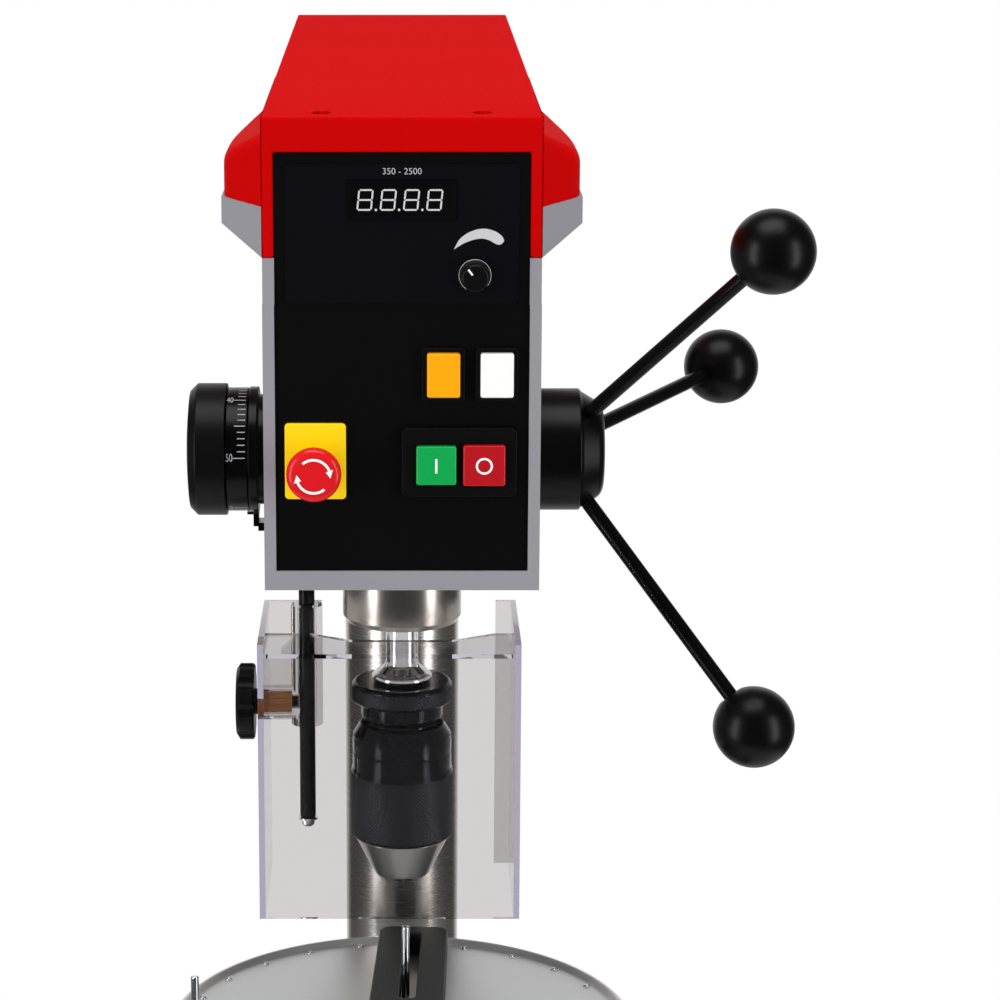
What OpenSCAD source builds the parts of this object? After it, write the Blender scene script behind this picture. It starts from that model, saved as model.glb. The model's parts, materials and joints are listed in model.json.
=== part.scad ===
// Benchtop drill press: round column, crank-lift round table, belt-driven quill head, clear chuck guard.
// Frame: origin on the bench under the column axis, +Z up, +X to the feed levers, -Y to the operator.

/* [Base] */
// Width of the base plate
base_w = 280; // [240:5:340]
// Depth of the base plate
base_d = 400; // [370:5:460]
// Height of the base plate
base_h = 28; // [24:1:40]
// Corner radius of the base plate
base_corner_r = 24; // [10:1:40]
// Distance from the column axis to the back edge of the base
base_back = 90; // [80:1:120]
// Width of the rim around the hollow underside
base_rim = 18; // [12:1:26]
// Thickness of the deck over the hollow underside
base_deck = 13; // [8:1:18]
// Width of the two clamping slots
base_slot_w = 14; // [10:1:18]
// Length of the two clamping slots
base_slot_l = 160; // [100:5:180]
// Distance between the two clamping slots
base_slot_pitch = 110; // [70:2:150]
// Diameter of the bench bolt holes
bench_hole_d = 11; // [8:0.5:13]
// Distance of the bench bolt holes from the base edges
bench_hole_inset = 22; // [18:1:30]

/* [Column] */
// Diameter of the column tube
column_d = 66; // [60:1:72]
// Wall of the column tube
column_wall = 5; // [3:0.5:8]
// Diameter of the column flange
flange_d = 136; // [126:1:150]
// Thickness of the column flange
flange_t = 16; // [12:1:20]
// Wall of the flange hub around the column
flange_hub_wall = 13; // [10:0.5:16]
// Height of the flange hub above the flange
flange_hub_h = 42; // [30:1:56]
// Diameter of the flange bolts
flange_bolt_d = 10; // [8:1:12]
// Radial wall of the collar above the lift rack
collar_wall = 8; // [7:0.5:9]
// Height of the collar above the lift rack
collar_h = 12; // [12:1:20]

/* [Head] */
// Height of the underside of the head above the bench
head_z = 669; // [661:1:681]
// Width of the head
head_w = 136; // [130:1:140]
// Height of the head casting
head_h = 143; // [138:1:146]
// Wall of the head casting
head_wall = 8; // [6:0.5:9]
// Distance from the column axis to the spindle axis
throat = 168; // [164:1:176]
// Distance from the spindle axis to the front face
front_reach = 95; // [93:1:104]
// Width of the frame beside the control panel
frame_side = 6; // [4:0.5:7]
// Width of the frame under the control panel
frame_foot = 10; // [6:0.5:12]
// Wall of the bosses around quill and column
boss_wall = 12; // [9:0.5:13]

/* [Belt housing] */
// Height of the grey belt pan above the casting
pan_h = 23; // [20:1:28]
// Height of the upright pan wall at the bulges
pan_side_h = 15; // [14:0.5:20]
// Depth of the pan keels beside the casting
pan_keel = 9; // [6:1:14]
// Thickness of the pan floor and the pan wall
pan_wall = 4; // [3:0.5:5]
// Width of the belt housing at its bulges
bulge_w = 201; // [190:1:210]
// Distance behind the spindle where the bulges begin
bulge_start = 73; // [68:1:80]
// Length over which the bulges flare out
bulge_flare = 61; // [50:1:70]
// Length of the widest part of the bulges
bulge_l = 64; // [50:1:80]
// Height of the upright red side wall
bulge_side_h = 24; // [18:1:28]
// Height of the red bulges where they meet the spine
bulge_top_h = 47; // [45:1:56]
// Height of the red cover at the front
cover_front_h = 68; // [64:1:74]
// Height of the red cover at its highest point
cover_back_h = 90; // [84:1:96]
// Width of the red cover at its highest point
cover_back_w = 123; // [118:1:128]
// Distance of the highest point behind the column axis
cover_peak = 100; // [95:1:110]
// Length of the sloping tail of the cover
cover_tail = 80; // [76:1:90]
// Wall of the red cover
cover_wall = 3; // [2:0.25:4]
// Width of the band above the control panel
cover_band = 17; // [14:0.5:20]

/* [Drive] */
// Distance of the motor shaft behind the column axis
motor_reach = 118; // [116:1:122]
// Diameter of the motor housing
motor_d = 120; // [110:1:124]
// Height of the motor housing
motor_h = 160; // [130:1:180]
// Diameter of the motor shaft
motor_shaft_d = 14; // [12:1:19]
// Outer diameter of the spindle pulley
spindle_pulley_d = 104; // [90:1:106]
// Outer diameter of the motor pulley
motor_pulley_d = 60; // [50:1:70]
// Width of the belt
belt_w = 14; // [10:1:16]
// Thickness of the belt
belt_t = 3; // [2:0.5:4]

/* [Quill and spindle] */
// Diameter of the quill
quill_d = 62.5; // [60:0.5:64]
// Length of the quill
quill_l = 168; // [164:1:172]
// Length of the quill below the head at rest
quill_drop = 40; // [38:1:46]
// Diameter of the spindle
spindle_d = 20; // [18:0.5:22]
// Outer diameter of the spindle bearings
bearing_d = 47; // [42:1:47]
// Width of the spindle bearings
bearing_w = 14; // [12:1:15]
// Module of the feed rack and pinion
feed_module = 1.6; // [1.4:0.05:1.7]
// Teeth of the feed pinion
feed_teeth = 12; // [12:1:12]
// Width of the feed rack
feed_rack_w = 18; // [14:1:20]

/* [Chuck] */
// Outer diameter of the chuck sleeve
chuck_d = 54; // [53:0.5:58]
// Length of the chuck from ring to nose
chuck_l = 108; // [106:0.5:112]
// Gap from the quill end to the chuck ring
chuck_drop = 34; // [30:1:38]
// Height of the gripping ring on top of the chuck
chuck_ring_h = 11; // [9:0.5:13]
// Diameter of the chuck neck under the ring
chuck_neck_d = 43; // [42:0.5:46]
// Length of the turning sleeve
chuck_sleeve_l = 63; // [60:0.5:64]
// Height of the steel nose under the sleeve
chuck_nose_h = 22; // [20:0.5:24]
// Diameter of the nose at its end
chuck_nose_d = 30; // [28:0.5:34]
// Diameter of each jaw
jaw_d = 6.4; // [6:0.1:7]
// Lean of the jaws from the spindle axis
jaw_lean = 12; // [11:0.25:12.5]

/* [Feed] */
// Height of the feed axis above the head underside
feed_rise = 43; // [39:0.5:46]
// Diameter of the feed hub
hub_d = 65; // [60:1:68]
// Length of the straight part of the feed hub
hub_l = 27; // [26:0.5:30]
// Length of the cone of the feed hub
hub_cone_l = 12; // [10:0.5:14]
// End diameter of the feed hub
hub_end_d = 50; // [46:1:54]
// Diameter of the lever rods
lever_d = 8; // [7:0.5:10]
// Outward lean of the levers
lever_lean = 35.6; // [33:0.2:37]
// Distance of the ball centres from the feed axis
lever_r = 149; // [140:1:160]
// Turn of the first lever from upright towards the operator
lever_phase = 36.6; // [30:0.2:40]
// Diameter of the ball knobs
ball_d = 43; // [38:1:46]
// Diameter of the return-spring case
spring_case_d = 67; // [64:1:70]
// Diameter of the return-spring drum behind its flange
spring_drum_d = 59; // [56:1:62]
// Width of the return-spring case
spring_case_w = 13; // [13:0.5:16]
// Diameter of the depth scale ring
scale_d = 66; // [60:1:68]
// Width of the depth scale ring
scale_w = 11.5; // [9:0.1:12]
// Diameter of the depth cap
cap_d = 70.5; // [68:0.5:74]
// Width of the depth cap
cap_w = 20.6; // [18:0.1:24]

/* [Control panel] */
// Thickness of the panel plate
panel_t = 3; // [2:0.25:4]
// Depth of the panel face behind the frame
panel_set_back = 1; // [0.5:0.25:2]
// Diameter of the speed knob
speed_knob_d = 16; // [14:0.5:18]
// Diameter of the emergency-stop mushroom
estop_d = 27; // [25:0.5:29]
// Travel of the push buttons
button_travel = 2.5; // [1.5:0.25:3]
// Clearance between a button and its opening
button_gap = 0.4; // [0.3:0.05:0.6]

/* [Guard] */
// Diameter of the guard rod
guard_rod_d = 8.5; // [8:0.1:10]
// Length of the guard rod below the head
guard_rod_l = 157; // [150:1:170]
// Distance of the guard rod to the left of the spindle
guard_rod_left = 51; // [50:0.5:52]
// Distance of the guard rod behind the spindle
guard_rod_back = 20; // [19:0.5:22]
// Width of the guard
guard_w = 135; // [130:1:140]
// Distance from the guard rod to the left wall
guard_left = 23; // [20:0.5:24]
// Depth of the guard
guard_depth = 89; // [88:1:94]
// Height of the guard walls
guard_h = 148; // [138:1:150]
// Gap from the head down to the top of the guard
guard_drop = 38; // [36:1:46]
// Thickness of the guard walls
guard_wall = 3; // [2.5:0.25:4]
// Diameter of the guard clamp knob
guard_knob_d = 41; // [36:1:44]

/* [Table] */
// Height of the table face above the bench at rest
table_z = 400; // [392:1:402]
// Diameter of the table
table_d = 252; // [230:1:256]
// Thickness of the table
table_t = 14; // [12:0.5:15]
// Height of the raised rim
rim_h = 3; // [2:0.25:4]
// Width of the raised rim
rim_w = 7; // [6:0.25:10]
// Number of rivets around the table
rivet_count = 24; // [12:1:36]
// Diameter of the rivet heads
rivet_d = 4; // [3:0.25:5]
// Diameter of the table stem
stem_d = 44; // [38:1:46]
// Depth of the tilt axis under the table face
tilt_drop = 55; // [54:0.5:58]
// Diameter of the tilt faces
tilt_d = 66; // [60:1:70]
// Distance of the tilt faces in front of the column axis
tilt_reach = 92; // [88:1:96]
// Height of the arm hub on the column
arm_hub_h = 84; // [76:1:90]
// Wall of the arm hub around the column
arm_hub_wall = 17; // [14:0.5:17]
// Module of the lift rack and pinion
lift_module = 2; // [1.9:0.05:2.1]
// Teeth of the lift pinion
lift_teeth = 10; // [10:1:10]
// Width of the lift rack
lift_rack_w = 16; // [12:1:20]
// Length of the crank
crank_r = 75; // [60:1:85]

/* [Work stop] */
// Width of the stop bar at its back end
bar_back_w = 39; // [32:0.5:40]
// Width of the stop bar at its front end
bar_front_w = 41; // [34:0.5:44]
// Length of the stop bar
bar_l = 120; // [100:1:130]
// Thickness of the stop bar
bar_t = 14; // [10:0.5:14]
// Width of the slot in the stop bar
bar_slot_w = 9; // [6:0.25:9]
// Distance of the back end of the bar from the table edge
bar_reach = 16; // [14:1:25]
// Turn of the stop bar
bar_turn = 2.3; // [0:0.1:4]
// Diameter of the stop pins
pin_d = 4.2; // [3.5:0.1:5]
// Height of the stop pins above the table
pin_h = 43; // [30:1:44]
// Distance of the bar pin behind the table centre
bar_pin_back = 34; // [33:0.5:38]

/* [Hidden] */
$fn = 96;
// Radial gap of a turning or sliding fit
fit_gap = 0.05;
// Gap between faces of separate moving pieces
run_gap = 0.3;
// Overlap used only to make cuts clean
cut = 1;
lean_x = [0, 90, 0];
lean_y = [90, 0, 0];

// Main stations of the frame
spindle_y = -throat;
front_y = spindle_y - front_reach;
// Depth of the spindle pulley sleeve below the top of the casting
pulley_sleeve_sink = 11.5;
// The casting grows when the quill and the pulley sleeve above it need more than its set height
casting_h = max(head_h, quill_l - quill_drop + pulley_sleeve_sink + run_gap);
head_top = head_z + casting_h;
seam_z = head_top + pan_h;
base_front = base_back - base_d;
head_half = head_w / 2;
column_r = column_d / 2;
column_top = head_top - 12;
panel_top_z = seam_z + cover_front_h - cover_band;
deck_z = head_top - head_wall;

// Flange, rack and collar on the column
flange_z = base_h;
flange_hub_r = column_r + flange_hub_wall;
flange_top = flange_z + flange_t + flange_hub_h;
flange_bolt_r = (flange_hub_r + flange_d / 2) / 2;
flange_bolt_sink = base_deck;
tilt_z = table_z - tilt_drop;
arm_top = tilt_z + 15;
arm_bottom = arm_top - arm_hub_h;
arm_r = column_r + arm_hub_wall;
collar_z = arm_top + 2;
collar_r = column_r + collar_wall;
rack_gap = 0.4;
rack_back = 5;
rack_y = column_r + rack_gap;
lift_pitch_y = rack_y + rack_back + 1.3 * lift_module;
lift_pitch_r = lift_module * lift_teeth / 2;
crank_y = lift_pitch_y + lift_pitch_r;
crank_z = tilt_z - 27;
crank_shaft_d = 14;
lock_z = arm_bottom + 22;
crank_x = 98;
crank_arm_t = 10;
crank_grip_l = 60;
crank_grip_d = 22;
crank_hub_d = 26;
crank_web_w = 16;
crank_eye_d = 20;
crank_pin_d = 10;
crank_cap_d = 15;
crank_cap_t = 4;
lock_stem_d = 12;
lock_boss_d = 30;
lock_boss_t = 6;
lock_hub_d = 26;
lock_hub_t = 20;
lock_reach = 28;
lock_lever_d = 9;
lock_lever_l = 62;
lock_ball_d = 25;

// Quill, spindle and chuck
quill_z = head_z - quill_drop;
quill_r = quill_d / 2;
quill_boss_r = quill_r + boss_wall;
feed_pitch_r = feed_module * feed_teeth / 2;
feed_tip = quill_r - 1.75;
feed_pitch_off = feed_tip - 0.65 * feed_module;
feed_y = spindle_y + feed_pitch_off + feed_pitch_r;
feed_z = head_z + feed_rise;
spindle_bore_r = spindle_d / 2 + 2.5;
bearing_lip = 3;
chuck_top = quill_z - chuck_drop;
chuck_r = chuck_d / 2;
chuck_end = chuck_top - chuck_l;
nose_top = chuck_end + chuck_nose_h;
sleeve_z = nose_top + run_gap;
core_r = chuck_r - 4.5;
arbor_d = 16;
arbor_l = 24;
jaw_r = jaw_d / 2;
jaw_l = 36;
jaw_grip = 0.6;
jaw_travel = 35;
shank_bore_r = 8.2;
shank_bore_l = 44;
nose_flange_d = 32.5;

// Screw pockets at the front of the cover
cover_screw_x = 39;
cover_screw_y = front_y + 14;
cover_screw_z = panel_top_z + 5;

// Belt drive
belt_z = seam_z + 14;
pulley_z = belt_z - 3;
pulley_h = belt_w + 6;
pulley_sleeve_r = 16;
spline_r = 8.5;
spline_count = 6;
spline_top = pulley_z + pulley_h + 24;
drive_span = throat + motor_reach;
motor_z = head_top - motor_h - 8;
motor_plate_t = 8;
gland_z = motor_z + 60;
gland_seat = motor_d / 2 + 1;

// Feed assembly on its cross shaft
journal_d = max(22, (feed_teeth + 1.7) * feed_module + 0.8);
shaft_d = 14;
hub_x = head_half + run_gap;
hub_end_x = hub_x + hub_l;
cone_end_x = hub_end_x + hub_cone_l;
lever_foot_x = hub_end_x - 17;
lever_bore_start = 16;
ball_s = lever_r / cos(lever_lean);
spring_x = -head_half - spring_case_w;
scale_x = spring_x - run_gap - scale_w;
cap_x = scale_x - run_gap - cap_w;
feed_shaft_left = cap_x + 8;

// Front panel stations
panel_y = front_y + panel_set_back;
panel_back = panel_y + panel_t;
panel_w = head_w - 2 * frame_side;
panel_z = head_z + frame_foot;
panel_top = panel_top_z;
panel_h = panel_top - panel_z;
panel_gap = 0.2;
label_t = 0.5;
label_w = 113.5;
label_h = 68;
label_z = panel_top - 5.3 - label_h;
display_w = 52.6;
display_h = 19.3;
display_z = panel_top - 22.7;
speed_pos = [35.3, panel_top - 59];
estop_pos = [-43, head_z + 61.8];
estop_plate = [30, 38];
estop_plate_pos = [-42.5, head_z + 65.6];
estop_plate_t = 2.4;
estop_stem_y = panel_y - estop_plate_t - 14;
switch_size = [56.2, 34.2];
switch_pos = [28.1, head_z + 65.4];
switch_t = 4;
start_size = [19.7, 19.4];
stop_size = [20.8, 20.4];
start_pos = [16.8, head_z + 64.3];
stop_pos = [40.3, head_z + 64.3];
lamp_size = [16.2, 22];
light_pos = [20.3, head_z + 108.8];
aux_pos = [46.4, head_z + 108.8];
bezel_border = 2.2;
bezel_t = 2;
button_deep = 14;
button_proud = 3;

// Guard stations
guard_rod_x = -guard_rod_left;
guard_rod_y = spindle_y + guard_rod_back;
guard_rod_z = head_z - guard_rod_l;
guard_rod_sink = 27;
guard_x0 = guard_rod_x - guard_left;
guard_x1 = guard_x0 + guard_w;
guard_back = guard_rod_y + 9;
guard_front = guard_back - guard_depth;
guard_top = head_z - guard_drop;
guard_z = guard_top - guard_h;
guard_shelf_z = guard_top - 5;
guard_boss_r = 8.5;
guard_boss_h = 66;
guard_flange = 10.8;
guard_knob_z = guard_top - 54;
guard_knob_t = 9.8;
guard_knob_x = guard_x0 - 5;
guard_screw_d = 6;
insert_d = 11.3;
insert_l = 15;

// Table stations
table_r = table_d / 2;
table_bottom = table_z - table_t;
stem_r = stem_d / 2;
stem_l = 64;
bracket_r = stem_r + 13;
bracket_top = table_bottom - 0.1;
bracket_bottom = table_bottom - stem_l;
tilt_face_t = 14;
tilt_bolt_d = 16;
tilt_nut_d = 27;
tilt_nut_t = 12;
rivet_r = table_r - rim_w - rivet_d / 2 - 0.5;
rivet_step = 360 / rivet_count;
bar_end = table_r - bar_reach;
bar_y = spindle_y + bar_end;
bar_x = 7;
bar_pin_l = (bar_end - bar_pin_back) / cos(bar_turn);
// The bar pin stands near the left wall of the slot
bar_pin_side = (bar_slot_w - pin_d) / 2 - 0.5;
bar_pin = [
    bar_x - bar_pin_l * sin(bar_turn) - bar_pin_side * cos(bar_turn),
    spindle_y + bar_pin_back + bar_pin_side * sin(bar_turn)
];
// Turn of the rivet circle, and of the rim pin that stands between two rivets
rivet_turn = -3;
rim_pin_turn = rivet_turn + (round(195 / rivet_step) + 0.5) * rivet_step;
pin_sink = 10;

// Plate with rounded upright corners, its lower corner at the origin
module rounded_plate(w, d, h, r) {
    translate([r, 0, 0]) cube([w - 2 * r, d, h]);
    translate([0, r, 0]) cube([w, d - 2 * r, h]);
    for (x = [r, w - r], y = [r, d - r])
        translate([x, y, 0]) cylinder(r = r, h = h);
}

// Plate standing in the XZ plane with rounded corners, centred on X and Z, its front at y
module front_plate(pos, size, r, y, t) {
    translate([pos[0] - size[0] / 2, y + t, pos[1] - size[1] / 2])
        rotate(lean_y) rounded_plate(size[0], size[1], t, r);
}

// Cylinder along +X that starts at x
module rod_x(d, x, l) {
    translate([x, 0, 0]) rotate(lean_x) cylinder(d = d, h = l);
}

// Cylinder along -Y that starts at y
module rod_y(d, y, l) {
    translate([0, y, 0]) rotate(lean_y) cylinder(d = d, h = l);
}

// Tube along Z
module tube(ro, ri, h) {
    difference() {
        cylinder(r = ro, h = h);
        translate([0, 0, -cut]) cylinder(r = ri, h = h + 2 * cut);
    }
}

// Solid turned about X from a profile of [x, radius] points
module turned_x(points) {
    rotate([0, 90, 0]) rotate_extrude() polygon([for (p = points) [p[1], p[0]]]);
}

// Hex head with its cap screw shank along -Z, the seat of the head at the origin
module hex_bolt(d, l, head_h) {
    cylinder(d = 1.85 * d, h = head_h, $fn = 6);
    translate([0, 0, -l]) cylinder(d = d, h = l + 0.5);
}

// Involute angle at radius r for base radius rb, in degrees
function involute(r, rb) = r <= rb ? 0 : (tan(acos(rb / r)) * 180 / PI - acos(rb / r));

// Half angle of a gear tooth at radius r
function tooth_half(m, z, r) =
    let (rp = m * z / 2, rb = rp * cos(20))
    0.44 * 180 / z + involute(rp, rb) - involute(r, rb);

// Outline of one gear tooth along +X
function tooth_points(m, z) =
    let (
        rp = m * z / 2,
        rb = rp * cos(20),
        radii = [rp - 1.6 * m, rb, rp, rp + 0.45 * m, rp + 0.85 * m],
        up = [for (r = radii) [r * cos(tooth_half(m, z, r)), r * sin(tooth_half(m, z, r))]],
        n = len(radii)
    )
    concat(up, [for (i = [n - 1:-1:0]) [up[i][0], -up[i][1]]]);

// Flat spur gear with one tooth pointing along +X
module spur_outline(m, z) {
    circle(r = m * z / 2 - 1.2 * m);
    for (i = [0:z - 1])
        rotate(i * 360 / z) polygon(tooth_points(m, z));
}

// Outline of a rack along +Y, teeth towards +X, pitch line at x = 0, a gap at y = 0
module rack_outline(m, back, y0, y1) {
    pitch = PI * m;
    root = -1.2 * m;
    tip = 0.65 * m;
    k0 = ceil(y0 / pitch);
    k1 = floor(y1 / pitch) - 1;
    half_root = 0.22 * pitch - root * tan(20);
    half_tip = 0.22 * pitch - tip * tan(20);
    translate([root - back, y0]) square([back + 0.01, y1 - y0]);
    for (k = [k0:k1])
        translate([0, (k + 0.5) * pitch])
            polygon([[root, -half_root], [tip, -half_tip], [tip, half_tip], [root, half_root]]);
}

// Copies at the corners of the bench hole rectangle
module at_bench_holes() {
    for (x = [-1, 1], y = [base_front + bench_hole_inset, base_back - bench_hole_inset])
        translate([x * (base_w / 2 - bench_hole_inset), y, 0]) children();
}

// Copies on the circle of flange bolts
module at_flange_bolts() {
    for (i = [0:3])
        rotate(45 + 90 * i) translate([flange_bolt_r, 0, 0]) children();
}

module base() {
    pocket_back = -flange_d / 2 - 6;
    pocket_d = pocket_back - base_front - base_rim;
    pocket_h = base_h - base_deck;
    pad_r = bench_hole_inset - 4;
    slot_y = (base_front + base_rim + pocket_back) / 2;
    color("#55575b") difference() {
        translate([-base_w / 2, base_front, 0])
            rounded_plate(base_w, base_d, base_h, base_corner_r);
        difference() {
            translate([-base_w / 2 + base_rim, base_front + base_rim, -cut])
                cube([base_w - 2 * base_rim, pocket_d, pocket_h + cut]);
            at_bench_holes() translate([0, 0, -2 * cut]) cylinder(r = pad_r, h = base_h);
        }
        for (s = [-1, 1])
            translate([s * base_slot_pitch / 2, slot_y, -cut]) {
                translate([-base_slot_w / 2, -base_slot_l / 2 + base_slot_w / 2, 0])
                    cube([base_slot_w, base_slot_l - base_slot_w, base_h + 2 * cut]);
                for (e = [-1, 1])
                    translate([0, e * (base_slot_l - base_slot_w) / 2, 0])
                        cylinder(d = base_slot_w, h = base_h + 2 * cut);
            }
        at_bench_holes() translate([0, 0, -cut]) cylinder(d = bench_hole_d, h = base_h + 2 * cut);
        at_flange_bolts() translate([0, 0, flange_z - flange_bolt_sink])
            cylinder(d = flange_bolt_d + 2 * fit_gap, h = flange_bolt_sink + cut);
    }
}

module column_flange() {
    color("#55575b") difference() {
        union() {
            translate([0, 0, flange_z]) cylinder(d = flange_d, h = flange_t);
            translate([0, 0, flange_z]) cylinder(r = flange_hub_r, h = flange_t + flange_hub_h);
        }
        translate([0, 0, flange_z - cut])
            cylinder(r = column_r + fit_gap, h = flange_t + flange_hub_h + 2 * cut);
        at_flange_bolts() translate([0, 0, flange_z - cut])
            cylinder(d = flange_bolt_d + 2 * fit_gap, h = flange_t + 2 * cut);
        set_screw_place(flange_top - 12, flange_hub_r, 90) set_screw_hole(flange_hub_wall);
    }
}

module flange_bolts() {
    color("#9a9da1") at_flange_bolts() translate([0, 0, flange_z + flange_t])
        hex_bolt(flange_bolt_d, flange_t + flange_bolt_sink - 0.5, 0.65 * flange_bolt_d);
}

module column() {
    color("#b9bbbd") translate([0, 0, base_h])
        tube(column_r, column_r - column_wall, column_top - base_h);
}

// Places a set screw on the outside of a hub, pointing at the column axis
module set_screw_place(z, r, turn) {
    rotate(turn) translate([r, 0, z]) rotate([0, -90, 0]) children();
}

module set_screw_hole(wall) {
    translate([0, 0, -cut]) cylinder(d = 8 + 2 * fit_gap, h = wall + 2 * cut);
}

// Socket set screw that starts just under the outside of its hub
module set_screw(wall) {
    difference() {
        translate([0, 0, 1]) cylinder(d = 8, h = wall - 1 - fit_gap);
        cylinder(d = 4.6, h = 4, $fn = 6);
    }
}

module set_screws() {
    color("#3a3b3d") {
        set_screw_place(flange_top - 12, flange_hub_r, 90) set_screw(flange_hub_wall);
        set_screw_place(collar_z + collar_h / 2, collar_r, 150) set_screw(collar_wall);
        for (z = [head_z + 40, head_z + 95])
            set_screw_place(z, column_r + boss_wall + 5, 60) set_screw(boss_wall + 5);
    }
}

module rack_collar() {
    color("#55575b") difference() {
        translate([0, 0, collar_z]) tube(collar_r, column_r + fit_gap, collar_h);
        set_screw_place(collar_z + collar_h / 2, collar_r, 150) set_screw_hole(collar_wall);
    }
}

// Plan of the head casting, kept inside the outline by the given inset
module head_plan(inset) {
    neck_y = -62;
    polygon([
        [-head_half + inset, front_y + inset], [head_half - inset, front_y + inset],
        [head_half - inset, neck_y], [column_r + boss_wall + 5 - inset, 0],
        [-column_r - boss_wall - 5 + inset, 0], [-head_half + inset, neck_y]
    ]);
    circle(r = column_r + boss_wall + 5 - inset);
}

module head_casting() {
    window_w = panel_w - 12;
    window_z = panel_z + 6;
    window_d = panel_back - front_y + head_wall + cut;
    bearing_deck = head_wall + 12;
    color("#96959b") difference() {
        union() {
            difference() {
                translate([0, 0, head_z]) linear_extrude(casting_h) head_plan(0);
                translate([0, 0, head_z + head_wall])
                    linear_extrude(casting_h - 2 * head_wall) head_plan(head_wall);
            }
            translate([0, spindle_y, head_z]) cylinder(r = quill_boss_r, h = quill_l - quill_drop);
            translate([0, spindle_y, head_top - bearing_deck])
                cylinder(r = pulley_sleeve_r + 14, h = bearing_deck);
            translate([0, 0, head_z]) cylinder(r = column_r + boss_wall + 5, h = casting_h - head_wall);
            translate([guard_rod_x, guard_rod_y, head_z]) cylinder(r = guard_rod_d, h = guard_rod_sink + 2);
        }
        translate([0, 0, head_z - cut]) cylinder(r = column_r + fit_gap, h = column_top - head_z + cut);
        translate([0, spindle_y, head_z - cut])
            cylinder(r = quill_r + fit_gap, h = quill_l - quill_drop + 2 * cut);
        translate([0, spindle_y, head_top - bearing_deck - cut])
            cylinder(r = pulley_sleeve_r + fit_gap, h = bearing_deck + 2 * cut);
        translate([0, feed_y, feed_z]) rod_x(journal_d + 2 * fit_gap, -head_half - cut, head_w + 2 * cut);
        translate([guard_rod_x, guard_rod_y, head_z - cut])
            cylinder(d = guard_rod_d + 2 * fit_gap, h = guard_rod_sink + cut);
        translate([-panel_w / 2 - panel_gap, front_y - cut, panel_z - panel_gap])
            cube([panel_w + 2 * panel_gap, panel_back - front_y + cut, casting_h]);
        translate([-window_w / 2, front_y - cut, window_z]) cube([window_w, window_d, deck_z - window_z]);
        for (z = [head_z + 40, head_z + 95])
            set_screw_place(z, column_r + boss_wall + 5, 60) set_screw_hole(boss_wall + 5);
    }
}

// Plan of the belt housing, drawn in by the given inset
module housing_plan(inset) {
    start_y = spindle_y + bulge_start;
    wide_y = start_y + bulge_flare;
    tail_y = cover_peak + cover_tail - inset;
    side = bulge_w / 2 - inset;
    polygon([
        [-head_half + inset, front_y + 9 + inset], [head_half - inset, front_y + 9 + inset],
        [head_half - inset, start_y], [side, wide_y], [side, wide_y + bulge_l],
        [side - 34, tail_y], [-side + 34, tail_y],
        [-side, wide_y + bulge_l], [-side, wide_y], [-head_half + inset, start_y]
    ]);
}

// Prism along the whole belt housing from a section across it
module along_housing() {
    back_y = cover_peak + cover_tail + cut;
    translate([0, back_y, 0]) rotate(lean_y) linear_extrude(back_y - front_y + cut) children();
}

module belt_pan() {
    side = bulge_w / 2;
    brim_z = seam_z - pan_side_h;
    keel_z = head_top - pan_keel;
    floor_z = head_top + pan_wall;
    keel_w = 4;
    color("#96959b") difference() {
        union() {
            difference() {
                intersection() {
                    translate([0, 0, keel_z]) linear_extrude(seam_z - keel_z) housing_plan(0);
                    along_housing() polygon([
                        [-side, seam_z], [-side, brim_z], [-head_half, keel_z],
                        [-head_half + keel_w, head_top], [head_half - keel_w, head_top],
                        [head_half, keel_z], [side, brim_z], [side, seam_z]
                    ]);
                }
                translate([0, 0, keel_z - cut]) linear_extrude(pan_keel + cut) head_plan(0);
                intersection() {
                    translate([0, 0, floor_z]) linear_extrude(pan_h) housing_plan(pan_wall);
                    along_housing() polygon([
                        [-side, seam_z + cut], [-side, brim_z + pan_wall], [-head_half, floor_z],
                        [head_half, floor_z], [side, brim_z + pan_wall], [side, seam_z + cut]
                    ]);
                }
            }
            for (s = [-1, 1])
                translate([s * (head_half - frame_side / 2 - 0.1) - frame_side / 2 + 0.1, front_y, head_top])
                    cube([frame_side - 0.2, 9 + pan_wall, pan_h]);
        }
        translate([0, spindle_y, head_top - cut]) cylinder(r = pulley_sleeve_r + 3, h = pan_wall + 2 * cut);
        translate([0, motor_reach, head_top - cut]) cylinder(d = motor_shaft_d + 8, h = pan_wall + 2 * cut);
    }
}

// Outside of the cover, drawn in by the given inset
module cover_shape(inset) {
    start_y = spindle_y + bulge_start;
    tail_y = cover_peak + cover_tail - inset;
    low = seam_z - (inset > 0 ? cut : 0);
    top = bulge_top_h - inset;
    hull() {
        translate([-head_half + inset, front_y + inset, low])
            cube([head_w - 2 * inset, 0.1, seam_z + cover_front_h - inset - low]);
        translate([-cover_back_w / 2 + inset, cover_peak, low])
            cube([cover_back_w - 2 * inset, 0.1, seam_z + cover_back_h - inset - low]);
        translate([-cover_back_w / 2 + 8 + inset, tail_y - 0.1, low])
            cube([cover_back_w - 16 - 2 * inset, 0.1, seam_z + bulge_top_h - inset - low]);
    }
    intersection() {
        hull() {
            translate([-bulge_w / 2 + inset, start_y - 40, low])
                cube([bulge_w - 2 * inset, tail_y - start_y + 40, seam_z + bulge_side_h - inset / 2 - low]);
            translate([-head_half + inset + 3, start_y - 40, low])
                cube([head_w - 6 - 2 * inset, tail_y - start_y + 34, seam_z + top - low]);
        }
        translate([0, 0, low]) linear_extrude(bulge_top_h + 40) housing_plan(inset);
    }
}

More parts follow.
